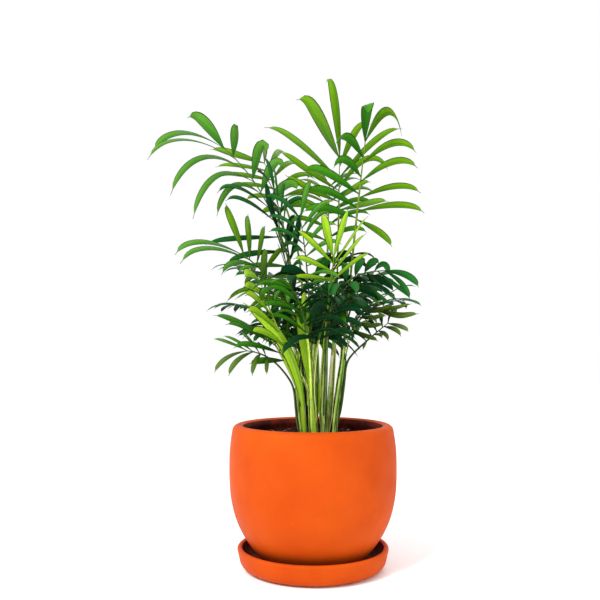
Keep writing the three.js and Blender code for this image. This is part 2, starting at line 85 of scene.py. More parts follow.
class Pile:
    # points and faces of one piece while it grows, with a finish for each face and, on blades, where it lies
    def __init__(self):
        self.points, self.faces, self.finishes, self.grains = [], [], [], []

    def add(self, points, faces, finishes, grains=()):
        start = len(self.points)
        self.points.extend(points)
        self.faces.extend([start + corner for corner in face] for face in faces)
        self.finishes.extend(finishes)
        self.grains.extend(grains)

    def rings(self, rings, finish, closed=False):
        # joins rings with equal corners into a tube, closed when its last ring meets its first;
        # finish is a number or a function of ring and side
        sides = len(rings[0])
        bands = len(rings) if closed else len(rings) - 1
        total = len(rings) * sides
        pick = finish if callable(finish) else lambda ring, side: finish
        cells = list(cellsOf(bands, sides))
        faces = [[corner % total for corner in cell] for _, _, cell in cells]
        finishes = [pick(ring, side) for ring, side, _ in cells]
        if not closed:
            faces += [list(range(sides))[::-1], list(range(total - sides, total))]
            finishes += [pick(0, 0), pick(bands - 1, 0)]
        self.add([corner for ring in rings for corner in ring], faces, finishes)

    def spin(self, stations, sides, corner, finish, closed=False):
        # corner gives a point for each station and angle
        rings = [[corner(station, angle) for angle in turns(sides)] for station in stations]
        self.rings(rings, finish, closed)

    def piece(self, name, finishes, crease):
        mesh = bpy.data.meshes.new(name)
        mesh.from_pydata([point * mm for point in self.points], [], self.faces)
        for finish in finishes:
            mesh.materials.append(finish)
        mesh.polygons.foreach_set("material_index", self.finishes)
        mesh.polygons.foreach_set("use_smooth", [True] * len(self.faces))
        for layer, first in (("grain", 0), ("blade", 2)) if self.grains else ():
            spots = [number for face in self.grains for corner in face for number in corner[first:first + 2]]
            mesh.uv_layers.new(name=layer).data.foreach_set("uv", spots)
        mesh.set_sharp_from_angle(angle=math.radians(crease))
        mesh.validate()
        return placed(name, mesh)


def dress(piece, slot, *nodes):
    # the piece moves with the whole plant and stands for these CAD nodes
    if nodes:
        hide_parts(*nodes)
    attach(piece, "root")


# helpers for materials, with sizes in millimetres

def toLinear(hexColour):
    channels = [int(hexColour[i:i + 2], 16) / 255 for i in (1, 3, 5)]
    return [c / 12.92 if c <= 0.04045 else ((c + 0.055) / 1.055) ** 2.4 for c in channels] + [1]


def perMetre(size):
    # how often a pattern of this size in millimetres repeats in a metre
    return 1 / (size * mm)


def join(tree, node, links):
    # a link comes from a socket, or from the first socket of a node
    for key, source in links.items():
        tree.links.new(getattr(source, "outputs", [source])[0], node.inputs[key])


def addNode(tree, kind, settings=None, links=None):
    # keys are inputs by number or name; a setting can also be a property of the node
    node = tree.nodes.new("ShaderNode" + kind)
    for key, value in (settings or {}).items():
        if isinstance(key, int) or key in node.inputs:
            node.inputs[key].default_value = value
        else:
            setattr(node, key, value)
    join(tree, node, links or {})
    return node


def newMaterial(name, roughness, ior, specular):
    material = bpy.data.materials.new(name)
    material.use_nodes = True
    tree = material.node_tree
    tree.nodes.clear()
    shader = {"Roughness": roughness, "IOR": ior, "Specular IOR Level": specular}
    surface = addNode(tree, "BsdfPrincipled", shader)
    addNode(tree, "OutputMaterial", links={"Surface": surface})
    return material, tree, surface


def dealtSkin(name, shader, colours, stain, spread, relief, grain=None, stretch=(1, 1, 1)):
    # two colours dealt out by a noise, and a relief from that noise or from a finer grain;
    # each noise is its size in millimetres, its detail and its roughness
    material, tree, surface = newMaterial(name, *shader)
    place = {"Vector": addNode(tree, "TexCoord").outputs["Object"]}
    place = {"Vector": addNode(tree, "Mapping", {"Scale": stretch}, place)}
    stains, grains = (
        addNode(tree, "TexNoise", {"Scale": perMetre(size), "Detail": detail, "Roughness": rough}, place)
        for size, detail, rough in (stain, grain or stain)
    )
    share = addNode(tree, "MapRange", {1: spread[0], 2: spread[1]}, {0: stains})
    body, fleck = (toLinear(colour) for colour in colours)
    colour = addNode(tree, "Mix", {"data_type": "RGBA", 6: body, 7: fleck}, {0: share})
    bump = addNode(tree, "Bump", {"Strength": relief[0], "Distance": relief[1] * mm}, {"Height": grains})
    join(tree, surface, {"Base Color": colour.outputs[2], "Normal": bump})
    return material


# terracotta pot and saucer

potForm = {
    "foot": 7.3, "footRadius": 46, "footRing": 38, "footRecess": 2, "footBevel": 1.5, "drain": 6, "floor": 9,
    "belly": 80, "bellyHeight": 100, "bellyPower": 2.9, "wall": 9, "insideCorner": 5,
    "crest": 135, "lip": 6.2, "lipCentre": 71.2, "outsideSteps": 46, "lipSteps": 18, "insideSteps": 24,
    "insideShadeFrom": 13, "sides": 160, "outOfRound": 0.12, "toolMark": 0.05, "toolPitch": 5.5,
}

saucerForm = {
    "underside": 55, "wallRadius": 71.9, "wallDraft": 2.2, "cornerRise": 9, "crest": 21, "lip": 2.5,
    "floor": 7, "floorRadius": 54, "insideCorner": 8, "cornerSteps": 16, "rimSteps": 12, "floorSteps": 5,
    "insideShadeFrom": -3, "sides": 160, "outOfRound": 0.1,
}

# how hand finishing leaves turned clay out of round: lobes round it and up it, less near its axis
handwork = {"lobes": 1.3, "lobeHeight": 60, "steadyRadius": 40}

clay = {
    # the two inside colours, near black maroon, are painted shade for the inside of the pot and the saucer
    "body": "#b8430a", "insideShadeBody": "#3a0e10", "insideShadeBlotch": "#6e2414",
    # size in millimetres, detail and roughness of each pattern
    "patterns": {
        "clouds": (70, 3, 0.55), "patches": (22, 5, 0.6), "rubs": (9, 8, 0.7), "spongeMarks": (1.6, 4, 0.6),
    },
    "grog": 1.4,
    # colours laid over the body: where each starts and is full in its pattern, its greatest share and its hex
    "layers": {
        "clouds": (0.35, 0.68, 1, "#c44d0e"),
        "patches": (0.52, 0.85, 0.4, "#a83a06"),
        "grog": (0.16, 0.06, 0.5, "#6e3212"),
        "rubs": (0.66, 0.78, 0.35, "#c8793c"),
    },
    # from where to where the patches go from glossy to dull, and both roughnesses
    "dullness": (0.3, 0.7, 0.42, 0.6),
}


def sealedTerracotta():
    # Moulded red earthenware, sponged smooth and sealed: an even orange with a soft sheen,
    # cloudy where the firing caught it, with fine grog specks that the sponge brought up.
    material, tree, surface = newMaterial("sealedTerracotta", 0.5, 1.5, 0.05)
    place = {"Vector": addNode(tree, "TexCoord").outputs["Object"]}
    patterns = {}
    for name, (size, detail, rough) in clay["patterns"].items():
        settings = {"Scale": perMetre(size), "Detail": detail, "Roughness": rough}
        patterns[name] = addNode(tree, "TexNoise", settings, place)
    # grog is 0.3 to 0.8 mm; drawn at 1.4 mm, so that it shows at this distance
    patterns["grog"] = addNode(tree, "TexVoronoi", {"Scale": perMetre(clay["grog"]), "Randomness": 1}, place)
    shares, under = {}, {}
    for name, (low, high, most, colour) in clay["layers"].items():
        shares[name] = addNode(tree, "MapRange", {1: low, 2: high, 4: most}, {0: patterns[name]})
        settings = {"data_type": "RGBA", 6: toLinear(clay["body"]), 7: toLinear(colour)}
        under = {6: addNode(tree, "Mix", settings, {0: shares[name], **under}).outputs[2]}
    dullness = addNode(tree, "MapRange", dict(enumerate(clay["dullness"], 1)), {0: patterns["patches"]})
    # sponge marks about 1.6 mm wide, and pits where grog came out
    marks = {"Strength": 0.22, "Distance": 0.25 * mm}
    sponged = addNode(tree, "Bump", marks, {"Height": patterns["spongeMarks"]})
    pits = {"Strength": 0.25, "Distance": 0.3 * mm, "invert": True}
    pitted = addNode(tree, "Bump", pits, {"Height": shares["grog"], "Normal": sponged})
    join(tree, surface, {"Base Color": under[6], "Roughness": dullness, "Normal": pitted})
    return material


def insideShadeTerracotta():
    # The same clay inside, unsealed and stained by wet soil: dull and blotchy, and painted near black maroon,
    # far darker than the stain, as painted shade where shade falls inside the pot and the saucer.
    return dealtSkin("insideShadeTerracotta", (0.8, 1.5, 0.12), (clay["insideShadeBody"], clay["insideShadeBlotch"]), (14, 6, 0.65),
                     (0.4, 0.66), (0.5, 0.4), grain=(1.2, 5, 0.5))


def arc(centre, radius, start, end, steps):
    angles = [math.radians(angle) for angle in spaced(start, end, steps)]
    return [(centre[0] + radius * math.cos(a), centre[1] + radius * math.sin(a)) for a in angles]


def onCurve(curve, t):
    return curve[0] * (1 - t) ** 2 + curve[1] * (2 * t * (1 - t)) + curve[2] * t ** 2


def bend(first, handle, last, steps):
    return [
        tuple(a * (1 - t) ** 2 + 2 * b * t * (1 - t) + c * t * t for a, b, c in zip(first, handle, last))
        for t in spaced(0, 1, steps)
    ]


lipHeight = potForm["crest"] - potForm["lip"]


def potOuter(height):
    belly, middle = potForm["belly"], potForm["bellyHeight"]
    if height <= middle:
        depth = (middle - height) / (middle - potForm["foot"])
        return belly - (belly - potForm["footRadius"]) * depth ** potForm["bellyPower"]
    climb = (height - middle) / (lipHeight - middle)
    return belly - (belly - potForm["lipCentre"] - potForm["lip"]) * climb ** 2


def potInner(height, clearance=0):
    wall, lip = potForm["wall"], potForm["lipCentre"] - potForm["lip"]
    below = min((lipHeight - height) / (lipHeight - potForm["bellyHeight"]), 1)
    overhang = (potOuter(lipHeight) - wall - lip) * (1 - below) ** 2
    return potOuter(height) - wall - overhang - clearance


def potProfile():
    # the outline from the drain hole round the outside and back down inside, and where the painted shade
    # inside starts
    form = potForm
    recess = form["foot"] + form["footRecess"]
    insideFloor = form["foot"] + form["floor"]
    insideFoot = insideFloor + form["insideCorner"]
    inner, outer, bevel = form["footRing"], form["footRadius"], form["footBevel"]
    foot = [(form["drain"], recess), (inner - 1, recess), (inner, recess - 0.3),
            (inner + bevel, form["foot"]), (outer - bevel, form["foot"]),
            (outer - bevel / 3, form["foot"] + bevel / 4)]
    outside = [(potOuter(z), z) for z in spaced(form["foot"] + bevel, lipHeight - 0.5, form["outsideSteps"])]
    lip = arc((form["lipCentre"], lipHeight), form["lip"], 0, 180, form["lipSteps"])
    inside = [(potInner(z), z) for z in spaced(lipHeight - 1, insideFoot, form["insideSteps"])]
    floor = [(potInner(insideFloor) - form["insideCorner"], insideFloor), (form["drain"], insideFloor)]
    return foot + outside + lip + inside + floor, len(foot + outside) + form["insideShadeFrom"]


def saucerProfile():
    form = saucerForm
    wall, draft, lip = form["wallRadius"], form["wallDraft"], form["lip"]
    rim = (wall - lip, form["crest"] - lip)
    corner = bend((form["underside"], 0), (wall - 2 * draft, 0), (wall - draft, form["cornerRise"]),
                  form["cornerSteps"])
    reach, floor = form["floorRadius"], form["floor"]
    inside = bend((rim[0] - lip, rim[1] - lip / 2), (reach + form["insideCorner"], floor), (reach, floor),
                  form["rimSteps"])
    outside = corner + arc(rim, lip, 0, 180, form["rimSteps"])
    floor = [(radius, form["floor"]) for radius in spaced(form["floorRadius"] - 6, 4, form["floorSteps"])]
    return outside + inside + floor, len(outside) + form["insideShadeFrom"]


def turned(outline, form, seed, closed):
    # spins an outline into a pile; hand finishing leaves it a little out of round
    profile, insideShadeFrom = outline

    def corner(station, angle):
        radius, height = station
        across, deep = math.cos(angle), math.sin(angle)
        lobes = handwork["lobes"]
        spot = Vector((across * lobes, deep * lobes, height / handwork["lobeHeight"] + seed))
        sway = noise.noise(spot) * form["outOfRound"] * min(radius / handwork["steadyRadius"], 1)
        sway -= form["outOfRound"] * 0.5
        if "toolMark" in form:
            sway += form["toolMark"] * math.sin(height / form["toolPitch"] * 2 * math.pi) * 0.5
        return Vector(((radius + sway) * across, (radius + sway) * deep, height))

    pile = Pile()
    # from the inner lip inwards the rings take the darkened inside finish, which is painted shade
    pile.spin(profile, form["sides"], corner, lambda ring, side: int(ring >= insideShadeFrom), closed)
    return pile


clays = [sealedTerracotta(), insideShadeTerracotta()]
pot = turned(potProfile(), potForm, 3.1, True)
dress(pot.piece("terracottaPot", clays, 50), "terracotta", "pot")
saucer = turned(saucerProfile(), saucerForm, 9.4, False)
dress(saucer.piece("terracottaSaucer", clays, 50), "terracotta", "saucer")
print("pot and saucer turned")


# potting soil

soilForm = {
    "level": 124, "edgeDrop": 1.5, "edgeWidth": 7.5, "sideGap": 0.8, "bottomGap": 0.3, "flatEdge": 3,
    "rings": 34, "wallRings": 12, "sides": 120, "heave": (0.9, 19), "crumble": (0.45, 4.2),
    "crumbs": 1150, "crumbSize": (0.7, 2.3), "chips": 70, "chipLength": (3.5, 8), "seed": 41,
    "pebbleBands": 4, "pebbleSides": 7, "dent": 0.35, "dentScale": 1.3, "sunk": 0.55, "lean": 0.4,
    "chipSquash": ((0.35, 0.6), (0.12, 0.22)), "crumbSquash": ((0.7, 1), 0.7),
}


def peatSoil():
    # Peat with composted bark, damp on top: near black brown with a reddish cast and no shine.
    # Its fibres and crumbs are under a millimetre, drawn at 0.9 mm.
    return dealtSkin("peatSoil", (0.92, 1.4, 0.1), ("#140a09", "#35201b"), (3.5, 7, 0.7), (0.38, 0.68),
                     (0.8, 0.6), grain=(0.9, 5, 0.75))


def barkFines():
    # Shredded pine bark: flakes with a rusty split face and a grey weathered one.
    return dealtSkin("barkFines", (0.85, 1.45, 0.12), ("#4a2c1e", "#84604a"), (5, 4, 0.5), (0.4, 0.62),
                     (0.6, 0.4), grain=(1.1, 4, 0.5))


def soilHeight(x, y):
    form = soilForm
    radius = math.hypot(x, y)
    rim = potInner(form["level"], form["sideGap"])
    edge = ease(rim - form["edgeWidth"], rim, radius) * form["edgeDrop"]
    (heave, heaveSize), (crumble, crumbleSize) = form["heave"], form["crumble"]
    rough = noise.noise(Vector((x / heaveSize, y / heaveSize, 4))) * heave
    rough += noise.noise(Vector((x / crumbleSize, y / crumbleSize, 8))) * crumble
    return form["level"] - edge + rough * (1 - ease(rim - form["flatEdge"], rim, radius))


def soilBody():
    form = soilForm
    rim = potInner(form["level"], form["sideGap"])
    bottom = potForm["foot"] + potForm["floor"] + form["bottomGap"]
    edge, foot = form["level"] - form["edgeDrop"] - 1, bottom + potForm["insideCorner"]
    circles = [(radius, None) for radius in spaced(rim / form["rings"], rim, form["rings"] - 1)]
    circles += [(potInner(z, form["sideGap"]), z) for z in spaced(edge, foot, form["wallRings"])]
    circles += [(potInner(bottom, potForm["insideCorner"] + form["sideGap"]), bottom)]

    def corner(circle, angle):
        radius, height = circle
        x, y = radius * math.cos(angle), radius * math.sin(angle)
        return Vector((x, y, soilHeight(x, y) if height is None else height))

    pile = Pile()
    pile.rings([[corner(circle, angle) for angle in turns(form["sides"])[::-1]] for circle in circles], 0)
    return pile


def pebble(centre, size, squash, turn, seed):
    # a rough grain: a squashed ball of a few rings, dented by noise
    bands, sides = soilForm["pebbleBands"], soilForm["pebbleSides"]
    points = [-up]
    for band in range(1, bands):
        tilt = math.pi * band / bands
        for side in range(sides):
            angle = 2 * math.pi * (side + band % 2 / 2) / sides
            x, y = math.sin(tilt) * math.cos(angle), math.sin(tilt) * math.sin(angle)
            points.append(Vector((x, y, -math.cos(tilt))))
    points.append(up)
    shaped = []
    for point in points:
        spot = point * soilForm["dentScale"] + Vector((seed, seed * 0.37, 0))
        dent = 1 + soilForm["dent"] * noise.noise(spot)
        local = Vector((point.x * squash[0], point.y * squash[1], point.z * squash[2])) * dent * size
        shaped.append(centre + turn @ local)
    last = len(points) - 1
    faces = [[0, 1 + (side + 1) % sides, 1 + side] for side in range(sides)]
    faces += [cell for _, _, cell in cellsOf(bands - 2, sides, 1)]
    faces += [[last - sides + side, last - sides + (side + 1) % sides, last] for side in range(sides)]
    return shaped, faces, [0] * len(faces)


def scatterSoil(feet, footRadius):
    # crumbs and bark lie on the surface, clear of the canes
    form = soilForm
    draw = random.Random(form["seed"])
    rim = potInner(form["level"], form["sideGap"]) - form["flatEdge"]
    crumbs, chips = Pile(), Pile()
    for number in range(form["crumbs"] + form["chips"]):
        isChip = number >= form["crumbs"]
        radius, angle = rim * math.sqrt(draw.random()), draw.uniform(0, 2 * math.pi)
        length = draw.uniform(*form["chipLength"]) if isChip else mix(form["crumbSize"], draw.random() ** 2)
        size = length / 2
        lean = form["lean"]
        turn = Euler((draw.uniform(-lean, lean), draw.uniform(-lean, lean), draw.uniform(0, 6.28)))
        if isChip:
            squash = (1, *(draw.uniform(*span) for span in form["chipSquash"]))
        else:
            squash = (1, draw.uniform(*form["crumbSquash"][0]), form["crumbSquash"][1])
        x, y = radius * math.cos(angle), radius * math.sin(angle)
        if any(math.hypot(x - foot.x, y - foot.y) < footRadius + size for foot in feet):
            continue
        place = Vector((x, y, soilHeight(x, y) + size * squash[2] * form["sunk"]))
        shape = pebble(place, size, squash, turn.to_quaternion(), draw.uniform(0, 90))
        (chips if isChip else crumbs).add(*shape)
    return crumbs, chips


# where the canes stand, and how far from a cane's middle its fronds sit

clump = {
    "centre": (4, 2), "radius": 21, "firstTurn": 100, "goldenTurn": 137.5, "lean": 0.17,
    "heights": [92, 80, 86, 70, 84, 76, 46, 72, 78, 44, 74], "footRadius": 4.1,
    "seatOut": 1.9, "seatGap": 0.3, "seatTurn": 120,
}
caneCount = len(clump["heights"])


def caneLine(number):
    angle = math.radians(clump["firstTurn"] + clump["goldenTurn"] * number)
    outward = math.sqrt((number + 0.5) / caneCount)
    direction = level(angle)
    foot = direction * (clump["radius"] * outward)
    foot += Vector((*clump["centre"], soilForm["level"] + clump["seatGap"]))
    height = clump["heights"][number]
    top = foot + direction * (clump["lean"] * outward * height)
    top.z = soilForm["level"] + height
    return foot, top, angle


soilSkin, bark = peatSoil(), barkFines()
dress(soilBody().piece("pottingSoil", [soilSkin], 60), "potting_mix", "soil")
crumbPile, chipPile = scatterSoil([caneLine(number)[0] for number in range(caneCount)], clump["footRadius"])
dress(crumbPile.piece("soilCrumbs", [soilSkin], 35), "potting_mix")
dress(chipPile.piece("barkChips", [bark], 35), "potting_mix")
print("soil laid")


# fronds: the rule and the table of the solids, written again

leafRule = {
    "marks": 80, "steps": 10, "limpness": 1.35, "stagger": 0.25, "endBroad": 0.35,
    "turn": 5, "tilt": 12, "sag": 0.12, "length": 0.07,
}

# where a leaflet would have touched another it was turned, bent or shortened like this
fallbacks = [
    (turn, sag, length)
    for length in (1, 0.78)
    for turn, sag in ((0, 0), (7, 0), (-7, 0), (0, 0.4), (0, -0.3), (14, 0.2), (-14, 0.2))
]


def changed(own, turn, sag, length):
    return {**own, "turn": own["turn"] + turn, "sag": own["sag"] + sag, "length": own["length"] * length}


plainLeaflet = {"turn": 0, "lift": 0, "tilt": 0, "sag": 0, "length": 1, "width": 1, "fold": None}

# postures that several leaflets share; fold is how far a blade's tip hangs over
hanging = {"turn": -25, "lift": 60, "tilt": 25, "sag": 0.5, "length": 0.55, "width": 1.6, "fold": 0.8}
curled = {"turn": -35, "lift": 45, "tilt": 25, "sag": 0.3, "length": 0.4, "width": 1.2, "fold": 0.8}
flung = {"lift": -55, "tilt": -30, "sag": -0.2, "length": 0.75, "width": 0.7}

# how the fronds in the thick of the clump hang
drooping = {
    "leaf": (50, 8), "short": (0.15, 0.1), "spread": (60, 25), "lift": (0, 0), "droop": (1.3, 1), "unruly": 3,
    "slim": (0.72, 0.72),
}

frondDefaults = {
    "bow": (0.2, 0.85), "bend": 0, "roll": 0, "bare": 0.5, "pairs": 7, "leaf": (45, 8),
    "short": (0.3, 0.05), "spread": (66, 36), "sway": (0, 0), "lift": (10, 8), "droop": (0.7, 0.7),
    "tug": 0, "gather": 1, "own": {}, "tints": ("deep", "deep"), "ages": {}, "unruly": 1, "rib": None,
    "slim": (0.82, 0.82), "stout": 1, "sheath": None,
}


def leaf(turn=0, like=(), **rest):
    # how one leaflet differs from the others, or from a shared posture
    return {**dict(like), "turn": turn, **rest}


def frond(cane, seat, heading, reach, rise, like=(), **differences):
    return cane, seat, {**dict(like), "heading": heading, "reach": reach, "rise": rise, **differences}


# each frond: its cane, its place on the cane's top, heading, reach and rise, and what differs otherwise
fronds = {
    "front_tall": frond(7, 2, -75, 65, 195, bow=(-0.1, 0.45), bend=-10, roll=20, bare=0.65, pairs=6,
        gather=1.4, leaf=(65, 8), short=(0.3, -0.1), spread=(95, 10), sway=(-5, -5), lift=(30, -25),
        droop=(0.5, 1.5), tug=-0.2, tints=("fresh", "bright"), slim=(1, 0.8), rib="bright", own={
            0: leaf(5, sag=-0.3, length=0.8), 1: leaf(5, sag=0.8), 2: leaf(15, length=0.7), 3: leaf(10),
            4: leaf(sag=0.3, length=0.6), 5: leaf(-10), 6: leaf(10, sag=-0.7), 7: leaf(-5),
            8: leaf(-5, sag=-0.4), 9: leaf(-10, length=1.2), 10: leaf(sag=-0.2, length=1.3),
            11: leaf(-5, length=1.1),
        }),
    "back_tall": frond(2, 0, 80, 40, 195, bow=(0.6, 0.45), roll=-10, bare=0.7, pairs=6, leaf=(85, 8.5),
        short=(0.45, -0.25), spread=(100, 5), sway=(-10, -15), lift=(20, -25), droop=(-0.2, 0.5), tug=-0.2,
        tints=("bright", "bright"), own={
            1: leaf(5, width=1.5), 2: leaf(10, length=0.7), 3: leaf(length=0),
            4: leaf(15, sag=-0.2, length=1.1), 5: leaf(-10, sag=0.2, length=1.2), 6: leaf(-15, sag=1),
            7: leaf(-20), 8: leaf(-15, length=0.6), 9: leaf(-15), 10: leaf(length=1.1), 11: leaf(-20),
        }),
    "left_arch": frond(3, 2, 160, 85, 220, bow=(0.15, 0.7), bend=20, roll=15, bare=0.4, pairs=10,
        leaf=(90, 7.5), short=(0.35, -0.2), spread=(95, 45), sway=(30, -10), lift=(0, 10), droop=(0.7, 1),
        tug=0.4, tints=("glossy", "glossy"),
        ages={11: "deep", 12: "deep", 13: "deep", 14: "dark", 15: "deep", 16: "dark", 17: "deep", 18: "dark"},
        own={
            0: leaf(-55, lift=-80, tilt=60, length=0.5, width=1.4), 1: leaf(5, sag=-0.2, length=0.9),
            2: leaf(5, hanging, sag=-0.4, length=0.35, width=1.3, fold=1.2),
            3: leaf(10, sag=-0.6, length=1.2), 4: leaf(length=0), 5: leaf(15, sag=0.4, length=1.3),
            6: leaf(-15, hanging), 7: leaf(15, sag=1, length=1.3), 8: hanging, 9: leaf(sag=1.3),
            10: hanging, 11: leaf(-10, sag=-0.4, length=0.9, width=0.8), 12: leaf(-30, hanging, width=0.8),
            13: leaf(-5, sag=-0.6, width=0.8), 14: leaf(-120, lift=-30, tilt=-80, sag=-2, length=0.75),
            15: leaf(20, lift=-30, sag=-1, length=1.1),
            16: leaf(-80, hanging, lift=75, sag=-0.6, width=1.3), 17: leaf(15, lift=-30, sag=-0.8),
            18: leaf(-90, lift=80, tilt=35, sag=-1.8, length=0.9), 19: leaf(10, lift=-30, sag=-0.8),
        }),
    "back_left_tall": frond(8, 1, 120, 80, 210, bow=(0.1, 0.55), bend=20, roll=20, bare=0.7, pairs=6,
        leaf=(65, 8), short=(0.55, -0.15), spread=(90, 30), sway=(5, -5), lift=(20, -25), droop=(0.8, 0.3),
        tug=-0.2, tints=("bright", "bright")),
    "left_middle": frond(1, 2, -160, 65, 90, bow=(0.45, 0.75), bend=-5, roll=40, bare=0.7, pairs=5,
        leaf=(80, 7), short=(0.5, 0.1), spread=(95, 40), sway=(10, 20), lift=(10, 10), droop=(0.4, 0.4),
        tug=0.3, tints=("bright", "glossy"), own={
            2: leaf(width=1.2), 3: leaf(length=1.3),
        }),
    "right_arch": frond(4, 1, -30, 60, 70, bow=(0, 1.05), bend=5, roll=-45, bare=0.45, pairs=7,
        leaf=(60, 8.5), short=(0.3, 0.2), spread=(95, 65), sway=(5, -20), lift=(10, -20), droop=(-0.2, 0.7),
        tug=0.4, tints=("deep", "deep"), slim=(0.6, 0.72), own={
            0: leaf(-15, flung, sag=1), 1: leaf(-65, lift=-30, tilt=-85, length=0.8, width=0.8),
            2: leaf(-10, flung), 3: dict(curled, sag=1.5, width=0.9), 4: leaf(5, flung), 5: curled,
            6: leaf(-5, flung), 7: curled, 8: leaf(25, flung, sag=-1, width=1.1), 9: leaf(-30, curled),
        }),
    "left_low": frond(6, 0, -150, 50, 35, bow=(0.6, 1), bend=-15, roll=35, bare=0.7, pairs=4, leaf=(45, 6),
        short=(0.45, 0.1), spread=(75, 40), sway=(0, 15), lift=(5, 5), droop=(0.8, 0.4), tug=0.4,
        tints=("glossy", "olive")),
    "left_lime": frond(9, 2, -145, 55, 100, bow=(0.65, 0.55), bend=5, roll=50, bare=0.4, pairs=5,
        leaf=(60, 9.5), short=(-0.3, 0.2), spread=(55, 60), sway=(20, 0), lift=(5, 5), droop=(0.2, 0.3),
        tints=("bright", "lime")),
    "left_dark": frond(6, 1, 175, 25, 45, bow=(0.7, 0.85), bend=-5, roll=30, bare=0.55, pairs=4,
        leaf=(70, 8), short=(0.25, 0.1), spread=(65, 35), sway=(-5, 0), lift=(5, 10), droop=(0.2, 0.2),
        tints=("dark", "fresh"), rib="lime", stout=1.5, sheath="lime"),
    "young_fan": frond(4, 2, -80, 45, 80, bow=(0.15, 0.65), bend=-5, roll=-20, bare=0.7, pairs=4,
        leaf=(55, 7), short=(0.2, 0), spread=(65, 15), sway=(10, 5), lift=(-5, 15), droop=(0.2, 0),
        tints=("lime", "lime"), own={
            0: leaf(-5, length=1.2), 2: leaf(length=1.2), 7: leaf(-10),
        }),
    "middle_upright": frond(0, 1, -95, 20, 55, bow=(0.3, 0.6), pairs=5, leaf=(50, 7.5), short=(0.2, 0.2),
        spread=(75, 35), sway=(10, 10), lift=(5, 0), droop=(1.2, 0.8), unruly=3, tints=("dark", "deep")),
    "right_low": frond(10, 2, -50, 40, 50, bow=(0.55, 0.95), bend=5, roll=-50, bare=0.45, pairs=6,
        leaf=(55, 5.5), short=(0.1, -0.1), spread=(75, 55), sway=(0, -25), lift=(-25, -15), droop=(0.4, 0),
        tug=0.5, tints=("olive", "olive")),
    "right_small": frond(7, 0, -10, 40, 35, bow=(0.6, 0.65), roll=-30, bare=0.5, pairs=5, leaf=(40, 5),
        short=(0.2, 0), spread=(90, 65), sway=(-5, 5), lift=(30, 5), droop=(0.9, 0.6), tug=0.4,
        tints=("olive", "deep"), sheath="dusky"),
    "back_upright": frond(5, 2, 85, 70, 185, bow=(0.15, 0.7), bare=0.6, pairs=6, leaf=(60, 8),
        tints=("fresh", "bright")),
    "back_far": frond(8, 2, 100, 95, 85, bow=(0.2, 0.85), bare=0.55, leaf=(50, 8),
        tints=("fresh", "fresh")),
    "back_right_far": frond(5, 0, 65, 85, 75, bare=0.55, leaf=(50, 8)),
    "back_left_low": frond(8, 0, 140, 75, 90, bow=(0.2, 0.8), pairs=6),
    "back_low": frond(5, 1, 110, 60, 65, pairs=6, tints=("dark", "dark")),
    "back_right": frond(10, 1, 50, 55, 85, bow=(0.2, 0.8), pairs=6),
    "front_middle": frond(9, 0, -110, 45, 90, drooping, bow=(0.1, 0.75), pairs=6, leaf=(55, 8),
        tints=("fresh", "dark")),
    "front_right": frond(4, 0, -60, 35, 55, drooping, bow=(0.15, 0.9), bare=0.45, spread=(60, 30),
        tints=("deep", "dark")),
    "front_left": frond(1, 0, -140, 45, 55, drooping, bow=(0.15, 0.85), pairs=6, tints=("bright", "fresh")),
    "front_low": frond(9, 1, -60, 40, 80, drooping, bow=(0.15, 0.85), pairs=6, tints=("dark", "dark")),
    "left_short": frond(3, 0, 165, 60, 55, bow=(0.2, 0.9), pairs=6, leaf=(40, 7), tints=("dark", "deep")),
    "right_short": frond(10, 0, 10, 45, 55, bow=(0.2, 0.9), pairs=6, leaf=(40, 6.5),
        tints=("deep", "dark")),
    "inner_right": frond(2, 2, -45, 25, 60, drooping, bow=(0.2, 0.9), pairs=5, tints=("dark", "dark")),
    "inner_left": frond(0, 0, -175, 30, 80, bow=(0.75, 0.5), pairs=5, leaf=(45, 7), spread=(50, 20),
        lift=(0, 0), droop=(0.4, 0.2), unruly=2, tints=("fresh", "bright")),
    "inner_middle": frond(0, 2, -40, 20, 70, drooping, bow=(0.2, 0.8), pairs=5, tints=("dark", "dark")),
}


def wobble(number, leafNumber, kind):
    # a repeatable value from -1 to 1 for each leaflet
    wave = math.sin(12.9898 * number + 78.233 * leafNumber + 37.719 * kind) * 4375.85
    return (wave - math.floor(wave)) * 2 - 1


def frondShape(name, number, entry, isInner=False):
    cane, seat, differences = entry
    shape = {**frondDefaults, **differences, "name": name, "number": number, "cane": cane, "isInner": isInner}
    shape["rib"] = shape["rib"] or ("deep" if shape["tints"][1] == "dark" else shape["tints"][1])
    _, top, angle = caneLine(cane)
    seatway = level(angle + math.radians(clump["seatTurn"] * seat))
    outward = level(math.radians(shape["heading"]))
    across = outward.cross(up)
    foot = top + seatway * clump["seatOut"] + up * clump["seatGap"]
    bow, reach, rise = shape["bow"], shape["reach"], shape["rise"]
    handle = foot + outward * (reach * bow[0]) + up * (rise * bow[1]) + across * shape["bend"]
    curve = (foot, handle, foot + outward * reach + up * rise)
    marks = [onCurve(curve, t) for t in spaced(0, 1, leafRule["marks"])]
    lengths = [0]
    for first, second in zip(marks, marks[1:]):
        lengths.append(lengths[-1] + (second - first).length)
    shape.update(seatway=seatway, across=across, curve=curve, lengths=lengths)
    return shape


def evenStep(lengths, share):
    # the curve's own parameter at a share of its length
    target = min(max(share, 0), 1) * lengths[-1]
    for i in range(len(lengths) - 1):
        if lengths[i + 1] >= target:
            return (i + (target - lengths[i]) / (lengths[i + 1] - lengths[i])) / (len(lengths) - 1)
    return 1


def ribFrame(shape, share):
    t = evenStep(shape["lengths"], share)
    curve, across = shape["curve"], shape["across"]
    forward = ((curve[1] - curve[0]) * (1 - t) + (curve[2] - curve[1]) * t).normalized()
    face = across.cross(forward)
    roll = math.radians(shape["roll"])
    side = across * math.cos(roll) + face * math.sin(roll)
    upper = face * math.cos(roll) - across * math.sin(roll)
    return onCurve(curve, t), forward, side, upper


def squared(face, direction):
    # the same side of a line once it runs in a new direction
    return (face - direction * face.dot(direction)).normalized()


